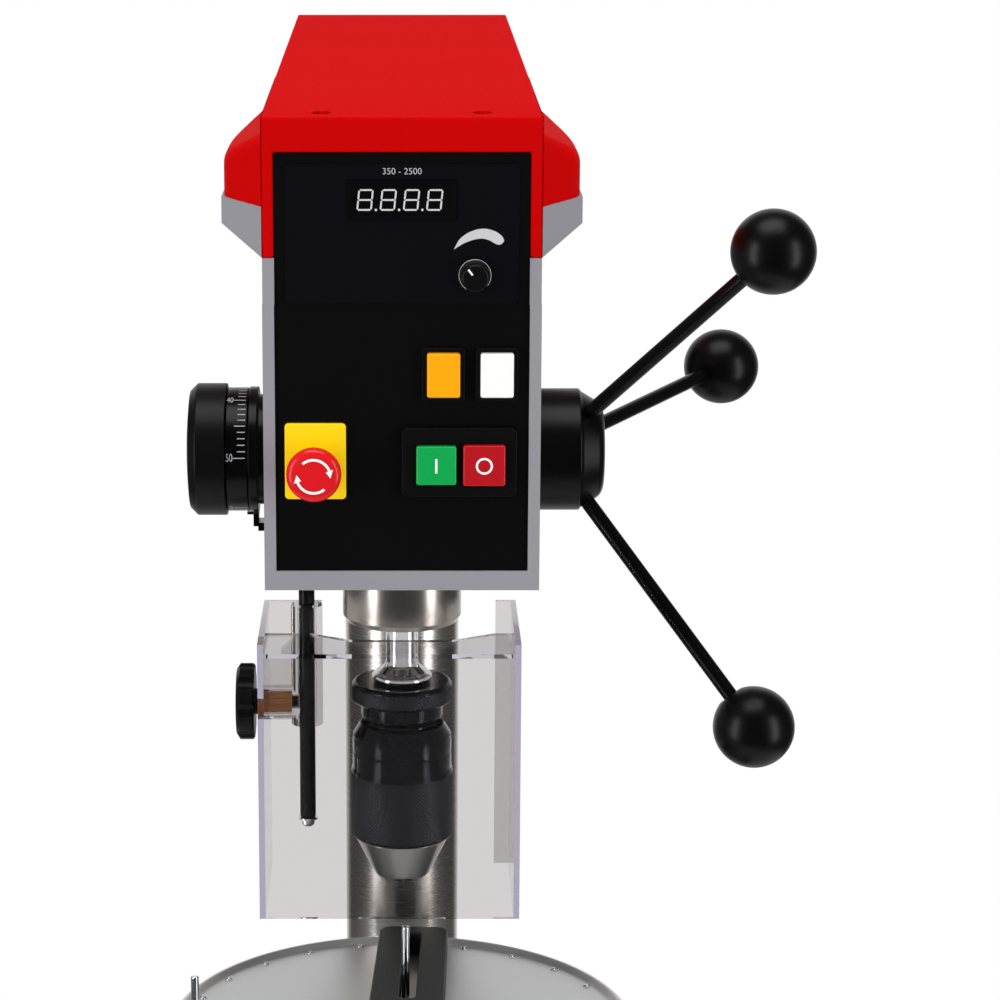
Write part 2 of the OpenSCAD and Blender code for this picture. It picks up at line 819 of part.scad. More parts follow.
module belt_cover() {
    boss_z = cover_screw_z - 10;
    color("#d31410") difference() {
        union() {
            difference() {
                cover_shape(0);
                cover_shape(cover_wall);
            }
            for (s = [-1, 1])
                translate([s * cover_screw_x, cover_screw_y, boss_z])
                    cylinder(d = 15, h = seam_z + cover_front_h - boss_z - 0.5);
        }
        translate([-panel_w / 2 - panel_gap, front_y - cut, seam_z - cut])
            cube([panel_w + 2 * panel_gap, 6 + cut, panel_top + panel_gap - seam_z + cut]);
        for (s = [-1, 1])
            translate([s * cover_screw_x, cover_screw_y, 0]) {
                translate([0, 0, cover_screw_z]) cylinder(d = 9.4, h = cover_band + 10);
                translate([0, 0, boss_z - cut]) cylinder(d = 5, h = 20);
            }
    }
}

module cover_screws() {
    color("#2b2c2e") for (s = [-1, 1])
        translate([s * cover_screw_x, cover_screw_y, cover_screw_z]) difference() {
            union() {
                cylinder(d = 8.5, h = 5);
                translate([0, 0, -9]) cylinder(d = 5, h = 9 + cut);
            }
            translate([0, 0, 2]) cylinder(d = 4.6, h = 4, $fn = 6);
        }
}

module motor() {
    foot_h = 22;
    fin_count = 24;
    color("#2f3134") translate([0, motor_reach, 0]) difference() {
        union() {
            translate([0, 0, motor_z + foot_h]) cylinder(d = motor_d - 8, h = motor_h - foot_h);
            translate([0, 0, motor_z]) cylinder(d = motor_d, h = foot_h);
            translate([0, 0, head_top - 8 - motor_plate_t]) cylinder(d = motor_d, h = motor_plate_t + 8);
            translate([0, 0, gland_z]) rotate([-90, 0, 0]) cylinder(d = 28, h = gland_seat);
            for (i = [0:fin_count - 1])
                rotate(i * 360 / fin_count) translate([motor_d / 2 - 8, -1.5, motor_z + foot_h + 10])
                    cube([7, 3, motor_h - foot_h - 34]);
        }
        translate([0, 0, motor_z + foot_h]) cylinder(d = motor_shaft_d + 2 * fit_gap, h = motor_h);
        for (i = [0:7])
            rotate(i * 45) translate([motor_d / 4, -3, motor_z - cut]) cube([motor_d / 6, 6, 10 + cut]);
    }
}

module cable_gland() {
    color("#26272a") translate([0, motor_reach, gland_z]) rotate([-90, 0, 0]) difference() {
        union() {
            translate([0, 0, gland_seat]) cylinder(d = 22, h = 6, $fn = 6);
            translate([0, 0, gland_seat + 6]) cylinder(d1 = 19, d2 = 13, h = 10);
        }
        translate([0, 0, gland_seat + 2]) cylinder(d = 8, h = 30);
    }
}

// Outline of a loop around both pulleys at the given distance from their rims
module belt_loop(grow) {
    r1 = spindle_pulley_d / 2 + grow;
    r2 = motor_pulley_d / 2 + grow;
    a = asin((r1 - r2) / drive_span);
    steps = 40;
    front = [for (i = [0:steps]) 180 - a + (180 + 2 * a) * i / steps];
    back = [for (i = [0:steps]) a + (180 - 2 * a) * i / steps];
    polygon(concat(
        [for (t = front) [r1 * cos(t), spindle_y + r1 * sin(t)]],
        [for (t = back) [r2 * cos(t), motor_reach + r2 * sin(t)]]
    ));
}

module belt() {
    color("#1c1c1e") translate([0, 0, belt_z]) linear_extrude(belt_w) difference() {
        belt_loop(run_gap + belt_t);
        belt_loop(run_gap);
    }
}

// Grooved pulley with its hub, its rim at the belt height
module ribbed_pulley(d, hub_d, hub_z, hub_h) {
    rib = 1.4;
    groove = belt_w / 7;
    difference() {
        union() {
            translate([0, 0, pulley_z]) cylinder(d = d - 2 * rib, h = pulley_h);
            for (z = [pulley_z, pulley_z + pulley_h - 3])
                translate([0, 0, z]) cylinder(d = d - 0.2, h = 3);
            for (i = [1:6])
                translate([0, 0, belt_z + groove * i - 0.5]) cylinder(d = d - 0.2, h = 1);
            translate([0, 0, hub_z]) cylinder(d = hub_d, h = hub_h);
        }
        translate([0, 0, pulley_z + 6]) tube(d / 2 - 8, hub_d / 2 + 4, pulley_h);
    }
}

// Splined shaft, or its bore when grown by the fit
module spline(z, h, grow) {
    translate([0, 0, z]) {
        cylinder(r = spline_r - 1.5 + grow, h = h);
        for (i = [0:spline_count - 1])
            rotate(i * 360 / spline_count) translate([0, -1.5 - grow, 0])
                cube([spline_r + grow, 3 + 2 * grow, h]);
    }
}

module spindle_pulley() {
    sleeve_z = head_top - pulley_sleeve_sink;
    color("#a9acb0") translate([0, spindle_y, 0]) difference() {
        ribbed_pulley(spindle_pulley_d, 2 * pulley_sleeve_r, sleeve_z, pulley_z + pulley_h - sleeve_z);
        spline(sleeve_z - cut, pulley_h + 80, 2 * fit_gap);
    }
}

module motor_shaft() {
    top = pulley_z + pulley_h + 4;
    foot = motor_z + 24;
    color("#c3c6ca") translate([0, motor_reach, foot]) cylinder(d = motor_shaft_d, h = top - foot);
}

module motor_pulley() {
    color("#a9acb0") translate([0, motor_reach, 0]) difference() {
        ribbed_pulley(motor_pulley_d, motor_shaft_d + 12, pulley_z - 6, pulley_h + 6);
        translate([0, 0, pulley_z - 6 - cut]) cylinder(d = motor_shaft_d, h = pulley_h + 40);
    }
}

// Opening for one rectangular control
module control_hole(pos, size, grow) {
    translate([pos[0] - size[0] / 2 - grow, front_y - 20, pos[1] - size[1] / 2 - grow])
        cube([size[0] + 2 * grow, 60, size[1] + 2 * grow]);
}

module control_panel() {
    color("#141416") difference() {
        translate([-panel_w / 2, panel_y, panel_z]) cube([panel_w, panel_t, panel_h]);
        control_hole([0, display_z], [display_w - 5, display_h - 4], 0);
        control_hole(switch_pos, [switch_size[0] - 8, switch_size[1] - 8], 0);
        control_hole(light_pos, lamp_size, 1);
        control_hole(aux_pos, lamp_size, 1);
        translate([estop_pos[0], 0, estop_pos[1]]) rod_y(16, panel_back + cut, panel_t + 2 * cut);
        translate([speed_pos[0], 0, speed_pos[1]])
            rod_y(4 + 2 * fit_gap, panel_back + cut, panel_t + 2 * cut);
    }
}

module label_plate() {
    color("#1d1d20") difference() {
        front_plate([0, label_z + label_h / 2], [label_w, label_h], 3, panel_y - label_t, label_t);
        control_hole([0, display_z], [display_w, display_h], 0.1);
        translate([speed_pos[0], 0, speed_pos[1]]) rod_y(7, panel_back + cut, panel_t + 3 * cut);
    }
}

module display_module() {
    color("#0c0c0d") difference() {
        union() {
            front_plate([0, display_z], [display_w, display_h], 1, panel_y - 1.2, 1.2);
            control_hole_plug([0, display_z], [display_w - 5.2, display_h - 4.2], panel_y, 16);
        }
        front_plate([0, display_z], [display_w - 6.8, display_h - 5.2], 0.6, panel_y - 2, 1.2);
    }
}

// Block that fills a control opening from y backwards
module control_hole_plug(pos, size, y, deep) {
    translate([pos[0] - size[0] / 2, y, pos[1] - size[1] / 2]) cube([size[0], deep, size[1]]);
}

module estop_base() {
    color("#ffd800") difference() {
        union() {
            front_plate(estop_plate_pos, estop_plate, 2, panel_y - estop_plate_t, estop_plate_t);
            translate([estop_pos[0], 0, estop_pos[1]]) rod_y(15.8, panel_back + 18, panel_t + 18);
        }
        translate([estop_pos[0], 0, estop_pos[1]]) rod_y(10 + 2 * run_gap, panel_back + 14, 40);
    }
}

module switch_frame() {
    body = [switch_size[0] - 8.2, switch_size[1] - 8.2];
    color("#17171a") difference() {
        union() {
            front_plate(switch_pos, switch_size, 3, panel_y - switch_t, switch_t);
            control_hole_plug(switch_pos, body, panel_y, button_deep + 6);
        }
        button_well(start_pos, start_size, panel_y - switch_t);
        button_well(stop_pos, stop_size, panel_y - switch_t);
    }
}

// Well in which a push button travels, closed at its back
module button_well(pos, size, y) {
    translate([pos[0] - size[0] / 2 - button_gap, y - cut, pos[1] - size[1] / 2 - button_gap])
        cube([size[0] + 2 * button_gap, button_deep + cut, size[1] + 2 * button_gap]);
}

// Push button standing proud of its well
module push_button(pos, size, y) {
    deep = button_deep - button_travel - run_gap;
    front_plate(pos, size, 1.2, y - button_proud, button_proud + deep);
}

module button_bezels() {
    outer = [lamp_size[0] + 2 * bezel_border, lamp_size[1] + 2 * bezel_border];
    body = [lamp_size[0] + 1.8, lamp_size[1] + 1.8];
    color("#17171a") for (pos = [light_pos, aux_pos]) difference() {
        union() {
            front_plate(pos, outer, 1.5, panel_y - bezel_t, bezel_t);
            control_hole_plug(pos, body, panel_y, button_deep);
        }
        button_well(pos, lamp_size, panel_y - bezel_t);
    }
}

module spring_case() {
    flange = 4.8;
    color("#1a1a1c") translate([0, feed_y, feed_z]) difference() {
        union() {
            rod_x(spring_case_d, spring_x, flange);
            rod_x(spring_drum_d, spring_x, spring_case_w);
        }
        rod_x(spring_drum_d - 6, spring_x + 3, spring_case_w);
        rod_x(shaft_d + 2 * run_gap, spring_x - cut, spring_case_w);
    }
}

// Flat spiral spring between the shaft and its case
module return_spring() {
    turns = 5;
    steps = 24;
    r0 = shaft_d / 2 + 5;
    r1 = spring_drum_d / 2 - 3.6;
    ribbon = 0.8;
    n = turns * steps;
    grow = (r1 - r0 - ribbon) / n;
    inner = [for (i = [0:n]) (r0 + grow * i) * [cos(i * 360 / steps), sin(i * 360 / steps)]];
    outer = [for (i = [n:-1:0]) (r0 + ribbon + grow * i) * [cos(i * 360 / steps), sin(i * 360 / steps)]];
    color("#8f9296") translate([spring_x + 4, feed_y, feed_z]) rotate(lean_x)
        linear_extrude(spring_case_w - 4.5) polygon(concat(inner, outer));
}

module depth_pointer() {
    tip_z = feed_z - max(scale_d, spring_case_d) / 2 - 0.6;
    color("#1a1a1c") translate([spring_x, feed_y, tip_z]) {
        translate([-2, -2, -1.4]) cube([4, 4, 1.4]);
        translate([1.5, -6, -7]) cube([3, 12, 7]);
        translate([4, -6, -9.5]) cube([spring_case_w - 4, 12, 4.5]);
    }
}

module quill() {
    chamfer = 2;
    rack_h = quill_l - 20;
    color("#c9cacc") translate([0, spindle_y, quill_z]) difference() {
        union() {
            rotate_extrude() polygon([
                [spindle_bore_r, 0], [quill_r - chamfer, 0], [quill_r, 1.5 * chamfer],
                [quill_r, quill_l], [spindle_bore_r, quill_l]
            ]);
        }
        for (z = [bearing_lip, quill_l - bearing_w - bearing_lip])
            translate([0, 0, z]) cylinder(d = bearing_d, h = bearing_w);
        translate([0, 0, -cut]) cylinder(d = bearing_d - 6, h = bearing_lip + 2 * cut);
        translate([0, 0, quill_l - bearing_lip - cut]) cylinder(d = bearing_d, h = bearing_lip + 2 * cut);
        difference() {
            translate([-feed_rack_w / 2, feed_pitch_off - 1.2 * feed_module, 10])
                cube([feed_rack_w, quill_r, rack_h]);
            translate([feed_rack_w, 0, 0]) rotate([0, -90, 0]) linear_extrude(2 * feed_rack_w)
                mirror([1, -1]) translate([feed_pitch_off, feed_z - quill_z])
                    rack_outline(feed_module, 4, 10 - feed_z + quill_z, 10 + rack_h - feed_z + quill_z);
        }
    }
}

module quill_bearings() {
    color("#b4b7bb") for (z = [bearing_lip, quill_l - bearing_w - bearing_lip])
        translate([0, spindle_y, quill_z + z]) tube(bearing_d / 2, spindle_d / 2 + fit_gap, bearing_w);
}

module spindle() {
    color("#d5d7da") translate([0, spindle_y, 0]) {
        translate([0, 0, quill_z + bearing_lip]) cylinder(d = spindle_d, h = quill_l - bearing_lip);
        translate([0, 0, chuck_top]) cylinder(d = 17, h = chuck_drop + bearing_lip + cut);
        translate([0, 0, chuck_top + 1]) cylinder(d1 = nose_flange_d, d2 = nose_flange_d - 3, h = 4);
        translate([0, 0, chuck_top + 5]) cylinder(d1 = nose_flange_d - 5, d2 = 18, h = 5);
        translate([0, 0, chuck_top - arbor_l]) cylinder(d = arbor_d, h = arbor_l + cut);
        spline(quill_z + quill_l - cut, spline_top - quill_z - quill_l + cut, 0);
    }
}

// Axis of one jaw: its foot at the nose end, leaning outwards as it rises
module on_jaw(turn) {
    translate([0, spindle_y, chuck_end]) rotate([0, 0, turn])
        translate([jaw_r + jaw_grip, 0, 0]) rotate([0, jaw_lean, 0]) children();
}

module chuck_body() {
    neck_r = chuck_neck_d / 2;
    sleeve_top = sleeve_z + chuck_sleeve_l;
    ring_z = chuck_top - chuck_ring_h;
    ring_r = chuck_r - 0.5;
    color("#232427") difference() {
        translate([0, spindle_y, 0]) rotate_extrude() polygon([
            [0, chuck_end], [chuck_nose_d / 2 - 1.5, chuck_end], [chuck_nose_d / 2, chuck_end + 1.5],
            [chuck_r - 2, nose_top], [core_r, nose_top], [core_r, sleeve_top - 4],
            [neck_r - 1.5, sleeve_top - 2], [neck_r - 1.5, sleeve_top + 2], [neck_r, sleeve_top + 4],
            [neck_r, ring_z], [ring_r - 1.5, ring_z], [ring_r, ring_z + 1.5],
            [ring_r, chuck_top - 1.5], [ring_r - 1.5, chuck_top], [0, chuck_top]
        ]);
        translate([0, spindle_y, chuck_top - arbor_l]) cylinder(d = arbor_d, h = arbor_l + cut);
        translate([0, spindle_y, chuck_end - cut]) cylinder(r = shank_bore_r, h = shank_bore_l + cut);
        for (i = [0:2])
            on_jaw(120 * i) translate([0, 0, -8]) cylinder(r = jaw_r + fit_gap, h = jaw_l + jaw_travel + 9);
    }
}

module chuck_sleeve() {
    top = sleeve_z + chuck_sleeve_l;
    knurl_top = sleeve_z + 37;
    groove = 0.7;
    color("#1b1c1e") translate([0, spindle_y, 0]) rotate_extrude() polygon([
        [core_r + run_gap, sleeve_z], [chuck_r - 1.5, sleeve_z], [chuck_r, sleeve_z + 1.5],
        [chuck_r, knurl_top], [chuck_r - groove, knurl_top + groove], [chuck_r - groove, top - 17],
        [chuck_r - 2 * groove, top - 16], [chuck_r - groove, top - 15], [chuck_r - groove, top - 9],
        [chuck_r - 2 * groove, top - 8], [chuck_r - groove, top - 7],
        [chuck_neck_d / 2 + 0.5, top], [core_r + run_gap, top - 3.6]
    ]);
}

module chuck_jaw(turn) {
    color("#8c8f93") difference() {
        on_jaw(turn) translate([0, 0, -2]) cylinder(r = jaw_r, h = jaw_l + 2);
        translate([0, spindle_y, chuck_end - 20]) cylinder(r = 60, h = 20);
        translate([0, spindle_y, chuck_end - cut]) cylinder(r = jaw_grip, h = jaw_l + 20);
    }
}

module chuck_jaw_1() { chuck_jaw(0); }
module chuck_jaw_2() { chuck_jaw(120); }
module chuck_jaw_3() { chuck_jaw(240); }

module feed_shaft() {
    journal_in = 45;
    color("#b4b7bb") translate([0, feed_y, feed_z]) {
        rod_x(shaft_d, feed_shaft_left, -head_half - feed_shaft_left + cut);
        rod_x(journal_d, -head_half + 1, head_half - journal_in);
        rod_x(shaft_d, -journal_in - 2, 2 * journal_in + 4);
        translate([-feed_rack_w / 2 + 1, 0, 0]) rotate([90, 0, 90]) linear_extrude(feed_rack_w - 2)
            rotate(180) spur_outline(feed_module, feed_teeth);
        rod_x(journal_d, journal_in, head_half - journal_in - 1);
        rod_x(shaft_d, head_half - 1 - cut, hub_l + cut);
    }
}

// Axis of one lever: its foot on the feed axis, leaning outwards
module on_lever(i) {
    translate([lever_foot_x, feed_y, feed_z]) rotate([lever_phase + 120 * i, 0, 0])
        rotate([0, lever_lean, 0]) children();
}

module feed_hub() {
    color("#161618") difference() {
        translate([0, feed_y, feed_z]) turned_x([
            [hub_x, 0], [hub_x, hub_d / 2 - 1], [hub_x + 1, hub_d / 2], [hub_end_x - 1, hub_d / 2],
            [hub_end_x, hub_d / 2 - 1], [cone_end_x - 2, hub_end_d / 2], [cone_end_x, hub_end_d / 2 - 3],
            [cone_end_x, 0]
        ]);
        translate([0, feed_y, feed_z]) rod_x(shaft_d, hub_x - cut, head_half - 1 + hub_l - hub_x + cut);
        for (i = [0:2])
            on_lever(i) translate([0, 0, lever_bore_start]) cylinder(d = lever_d, h = hub_d);
    }
}

module lever_rods() {
    color("#1e1e20") for (i = [0:2])
        on_lever(i) translate([0, 0, lever_bore_start]) cylinder(d = lever_d, h = ball_s - lever_bore_start);
}

module ball_knobs() {
    flat = 0.46 * ball_d;
    color("#0f0f10") for (i = [0:2])
        on_lever(i) translate([0, 0, ball_s]) difference() {
            sphere(d = ball_d);
            translate([-ball_d, -ball_d, -2 * ball_d - flat]) cube(2 * ball_d);
            translate([0, 0, -ball_d]) cylinder(d = lever_d, h = ball_d);
        }
}

module depth_cap() {
    dome = 4;
    color("#151517") translate([0, feed_y, feed_z]) difference() {
        turned_x([
            [cap_x, 0], [cap_x, cap_d / 2 - 14], [cap_x + 1, cap_d / 2 - dome], [cap_x + dome + 1, cap_d / 2],
            [cap_x + cap_w - 0.5, cap_d / 2], [cap_x + cap_w, cap_d / 2 - 0.5], [cap_x + cap_w, 0]
        ]);
        rod_x(shaft_d, feed_shaft_left, cap_w);
    }
}

module depth_scale() {
    color("#1c1c1e") translate([0, feed_y, feed_z]) difference() {
        rod_x(scale_d, scale_x, scale_w);
        rod_x(shaft_d + 2 * fit_gap, scale_x - cut, scale_w + 2 * cut);
    }
}

module start_button() {
    color("#0aa64e") push_button(start_pos, start_size, panel_y - switch_t);
}

module stop_button() {
    color("#c8102e") push_button(stop_pos, stop_size, panel_y - switch_t);
}

module light_button() {
    color("#f7a600") push_button(light_pos, lamp_size, panel_y - bezel_t);
}

module aux_button() {
    color("#f4f4f2") push_button(aux_pos, lamp_size, panel_y - bezel_t);
}

module estop_stem() {
    color("#2b2c2e") translate([estop_pos[0], 0, estop_pos[1]]) {
        rod_y(10, panel_back + 14 - 4 - run_gap, panel_back + 14 - 4 - run_gap - estop_stem_y - 6);
        rod_y(6, estop_stem_y + 7, 7);
    }
}

module estop_head() {
    face = estop_stem_y - 3;
    back = estop_stem_y + 5.6;
    color("#d0121b") translate([estop_pos[0], 0, estop_pos[1]]) difference() {
        rotate(lean_y) translate([0, 0, -back]) rotate_extrude() polygon([
            [0, 0], [6.5, 0], [7.5, 1.5], [estop_d / 2 - 0.8, 3], [estop_d / 2, 4],
            [estop_d / 2, back - face - 2.5],
            [estop_d / 2 - 2.5, back - face - 0.5], [estop_d / 2 - 5, back - face], [0, back - face]
        ]);
        rod_y(6 + 2 * fit_gap, back + cut, back - estop_stem_y + cut + 0.1);
    }
}

module speed_knob() {
    skirt = panel_y - label_t - run_gap;
    color("#111113") translate([speed_pos[0], 0, speed_pos[1]]) {
        difference() {
            union() {
                rod_y(speed_knob_d, skirt, 3);
                rod_y(speed_knob_d - 2.5, skirt, 13);
            }
            rod_y(4, skirt + cut, 10);
        }
        rod_y(4, panel_back + 3, panel_back + 3 - skirt + 9);
    }
}

module guard_rod() {
    color("#131314") translate([guard_rod_x, guard_rod_y, 0]) {
        translate([0, 0, guard_rod_z]) cylinder(d = guard_rod_d, h = guard_rod_l + guard_rod_sink - 1);
        translate([0, 0, guard_rod_z - 5]) cylinder(d = 4, h = 6);
        translate([0, 0, guard_rod_z - 1]) cylinder(d = guard_rod_d + 2, h = 1);
        translate([0, 0, guard_rod_z - 5]) cylinder(d = 7, h = 4, $fn = 6);
    }
}

module guard_shield() {
    mid_y = guard_front + 27;
    side_y = guard_front + 40;
    notch_foot = 52;
    notch_top = 96;
    mid_x = guard_rod_x + guard_rod_left;
    boss_z = guard_top - guard_boss_h;
    color([0.85, 0.88, 0.9, 0.35]) difference() {
        union() {
            translate([guard_x0, guard_front, guard_z]) cube([guard_w, guard_wall, guard_shelf_z - guard_z]);
            for (x = [guard_x0, guard_x1 - guard_wall])
                translate([x, guard_front, guard_z]) cube([guard_wall, guard_depth, guard_h]);
            translate([0, 0, guard_shelf_z - guard_wall]) linear_extrude(guard_wall) polygon([
                [guard_x0, guard_front], [guard_x1, guard_front], [guard_x1, side_y],
                [mid_x + notch_top / 2, side_y], [mid_x + notch_foot / 2, mid_y],
                [mid_x - notch_foot / 2, mid_y], [mid_x - notch_top / 2, side_y], [guard_x0, side_y]
            ]);
            translate([guard_x1 - guard_flange, guard_back - guard_wall, guard_z])
                cube([guard_flange, guard_wall, guard_h]);
            translate([guard_x0, guard_back - guard_wall, boss_z])
                cube([guard_left + 8, guard_wall, guard_boss_h]);
            translate([guard_rod_x, guard_rod_y, boss_z]) cylinder(r = guard_boss_r, h = guard_boss_h);
            translate([0, guard_rod_y, guard_knob_z]) rod_x(18, guard_x0, guard_left);
        }
        translate([guard_rod_x, guard_rod_y, boss_z - cut])
            cylinder(d = guard_rod_d + 2 * fit_gap, h = guard_boss_h + 2 * cut);
        translate([0, guard_rod_y, guard_knob_z]) rod_x(insert_d, guard_x0 - cut, insert_l + cut);
        translate([0, guard_rod_y, guard_knob_z]) rod_x(guard_screw_d + 0.6, guard_x0, guard_left);
    }
}

module guard_insert() {
    color("#b98a4e") translate([0, guard_rod_y, guard_knob_z]) difference() {
        rod_x(insert_d, guard_x0, insert_l);
        rod_x(guard_screw_d + 2 * fit_gap, guard_x0 - cut, insert_l + 2 * cut);
    }
}

module guard_knob() {
    flutes = 8;
    screw_end = guard_rod_x - guard_rod_d / 2 - run_gap;
    color("#0d0d0e") translate([0, guard_rod_y, guard_knob_z]) {
        difference() {
            turned_x([
                [guard_knob_x - guard_knob_t, 0], [guard_knob_x - guard_knob_t, guard_knob_d / 2 - 3],
                [guard_knob_x - guard_knob_t + 2, guard_knob_d / 2], [guard_knob_x - 1, guard_knob_d / 2],
                [guard_knob_x, guard_knob_d / 2 - 1], [guard_knob_x, 7], [guard_x0 - run_gap, 7],
                [guard_x0 - run_gap, 0]
            ]);
            for (i = [0:flutes - 1])
                rotate([i * 360 / flutes, 0, 0]) translate([0, 0, guard_knob_d / 2 + 4])
                    rod_x(12, guard_knob_x - guard_knob_t - cut, guard_knob_t + 2 * cut);
        }
        rod_x(guard_screw_d, guard_x0 - 2, screw_end - guard_x0 + 2);
    }
}

module lift_rack() {
    z0 = flange_top + 0.2;
    z1 = collar_z - 0.2;
    color("#8f9296") translate([-lift_rack_w / 2, lift_pitch_y, crank_z]) rotate([90, 0, 90])
        linear_extrude(lift_rack_w) rack_outline(lift_module, rack_back - 0.4, z0 - crank_z, z1 - crank_z);
}

module table_arm() {
    channel = lift_rack_w + 2 * run_gap;
    channel_back = lift_pitch_y + 0.65 * lift_module + run_gap;
    boss_half = lift_rack_w / 2 + 16;
    boss_r = lift_pitch_r + lift_module + 7;
    pocket_r = lift_pitch_r + lift_module + 1;
    color("#55575b") difference() {
        union() {
            translate([0, 0, arm_bottom]) cylinder(r = arm_r, h = arm_hub_h);
            translate([0, 0, tilt_z]) rod_y(tilt_d - 8, 0, tilt_reach - 2);
            translate([0, 0, tilt_z]) rod_y(tilt_d, -tilt_reach + tilt_face_t, tilt_face_t);
            translate([0, crank_y, crank_z]) rod_x(2 * boss_r, -boss_half, 2 * boss_half);
            translate([-boss_half, 0, crank_z - boss_r]) cube([2 * boss_half, crank_y, 2 * boss_r]);
            translate([0, crank_y, crank_z]) rod_x(crank_shaft_d + 12, 0, crank_x - 6);
            translate([0, 0, lock_z]) rod_x(lock_boss_d, -arm_r - lock_boss_t, arm_r);
        }
        translate([0, 0, arm_bottom - cut]) cylinder(r = column_r + fit_gap, h = arm_hub_h + 2 * cut);
        translate([-channel / 2, 0, arm_bottom - cut]) cube([channel, channel_back, arm_hub_h + 2 * cut]);
        translate([0, crank_y, crank_z]) rod_x(2 * pocket_r, -channel / 2, channel);
        translate([0, crank_y, crank_z])
            rod_x(crank_shaft_d + 2 * fit_gap, -boss_half + 6, crank_x + boss_half);
        translate([0, 0, lock_z]) rod_x(lock_stem_d + 2 * fit_gap, -arm_r - lock_boss_t - cut, arm_r);
        translate([0, 0, arm_top]) cylinder(r = collar_r + 2, h = tilt_d);
    }
    color("#9a9da1") translate([0, 0, tilt_z])
        rod_y(tilt_bolt_d, -tilt_reach + 1, tilt_face_t + tilt_nut_t + 4);
}

module lift_crank() {
    foot = -lift_rack_w / 2 - 8;
    color("#8f9296") translate([0, crank_y, crank_z]) {
        rod_x(crank_shaft_d, foot, crank_x - foot + crank_arm_t);
        translate([-lift_rack_w / 2 + 1, 0, 0]) rotate([90, 0, 90]) linear_extrude(lift_rack_w - 2)
            rotate(180) spur_outline(lift_module, lift_teeth);
        rod_x(crank_hub_d, crank_x, crank_arm_t);
        translate([crank_x, -crank_web_w / 2, -crank_r]) cube([crank_arm_t, crank_web_w, crank_r]);
        translate([0, 0, -crank_r]) rod_x(crank_eye_d, crank_x, crank_arm_t);
        translate([0, 0, -crank_r]) rod_x(crank_pin_d, crank_x, crank_arm_t + crank_grip_l + crank_cap_t);
        translate([0, 0, -crank_r])
            rod_x(crank_cap_d, crank_x + crank_arm_t + crank_grip_l + 2 * run_gap, crank_cap_t);
    }
}

module crank_grip() {
    x0 = crank_x + crank_arm_t + run_gap;
    l = crank_grip_l;
    r = crank_grip_d / 2;
    color("#161618") translate([0, crank_y, crank_z - crank_r]) difference() {
        turned_x([
            [x0, 0], [x0, r - 3], [x0 + 2, r - 1.5], [x0 + l * 0.4, r], [x0 + l * 0.8, r - 0.8],
            [x0 + l - 2, r - 2.5], [x0 + l, r - 4], [x0 + l, 0]
        ]);
        rod_x(crank_pin_d + 2 * fit_gap, x0 - cut, l + 2 * cut);
    }
}

module arm_lock() {
    tip = -column_r - run_gap;
    head_x = -arm_r - lock_reach;
    color("#232427") translate([0, 0, lock_z]) {
        rod_x(lock_stem_d, head_x, tip - head_x);
        rod_x(lock_hub_d, head_x - lock_hub_t / 5, lock_hub_t);
        translate([head_x + lock_hub_t * 0.3, 0, 0]) rotate([145, 0, 0]) {
            cylinder(d = lock_lever_d, h = lock_lever_l);
            translate([0, 0, lock_lever_l]) sphere(d = lock_ball_d);
        }
    }
}

module table_bracket() {
    face_y = -tilt_reach - 0.1;
    cheek = 11;
    cheek_in = tilt_nut_d / 2 + 5;
    cheek_h = 44;
    back = face_y - tilt_face_t;
    color("#55575b") difference() {
        union() {
            translate([0, 0, tilt_z]) rod_y(tilt_d, face_y, tilt_face_t);
            for (s = [-1, 1])
                translate([s * (cheek_in + cheek / 2) - cheek / 2, spindle_y + 4, tilt_z - cheek_h / 2])
                    cube([cheek, face_y - 2 - spindle_y - 4, cheek_h]);
            translate([0, spindle_y, bracket_bottom])
                cylinder(r = bracket_r, h = bracket_top - bracket_bottom);
        }
        translate([0, 0, tilt_z]) rod_y(tilt_bolt_d + 2 * fit_gap, face_y + cut, tilt_face_t + 40);
        translate([0, spindle_y, bracket_bottom - cut])
            cylinder(r = stem_r + fit_gap, h = bracket_top - bracket_bottom + 2 * cut);
    }
    color("#9a9da1") translate([0, 0, tilt_z]) difference() {
        rotate(lean_y) translate([0, 0, -back]) cylinder(d = tilt_nut_d, h = tilt_nut_t, $fn = 6);
        rod_y(tilt_bolt_d + 2 * fit_gap, back + cut, tilt_nut_t + 2 * cut);
    }
}

// Slotted stop bar on the table, tapering towards its back end
module stop_bar() {
    slot_l = bar_l - 30;
    color("#303134") translate([bar_x, bar_y, table_z]) rotate(-bar_turn) difference() {
        linear_extrude(bar_t) polygon([
            [-bar_back_w / 2 + 6, 0], [bar_back_w / 2 - 6, 0], [bar_back_w / 2 - 1.8, -1.8],
            [bar_back_w / 2, -6], [bar_front_w / 2, -bar_l], [-bar_front_w / 2, -bar_l],
            [-bar_back_w / 2, -6], [-bar_back_w / 2 + 1.8, -1.8]
        ]);
        translate([-bar_slot_w / 2, -14 - slot_l, -cut]) cube([bar_slot_w, slot_l, bar_t + 2 * cut]);
        for (y = [-14, -14 - slot_l])
            translate([0, y, -cut]) cylinder(d = bar_slot_w, h = bar_t + 2 * cut);
    }
}

// Places the two pins, one on the rivet circle and one behind the table centre
module at_stop_pins() {
    translate([0, spindle_y, table_z]) rotate(rim_pin_turn) translate([rivet_r, 0, 0]) children();
    translate([bar_pin[0], bar_pin[1], table_z]) children();
}

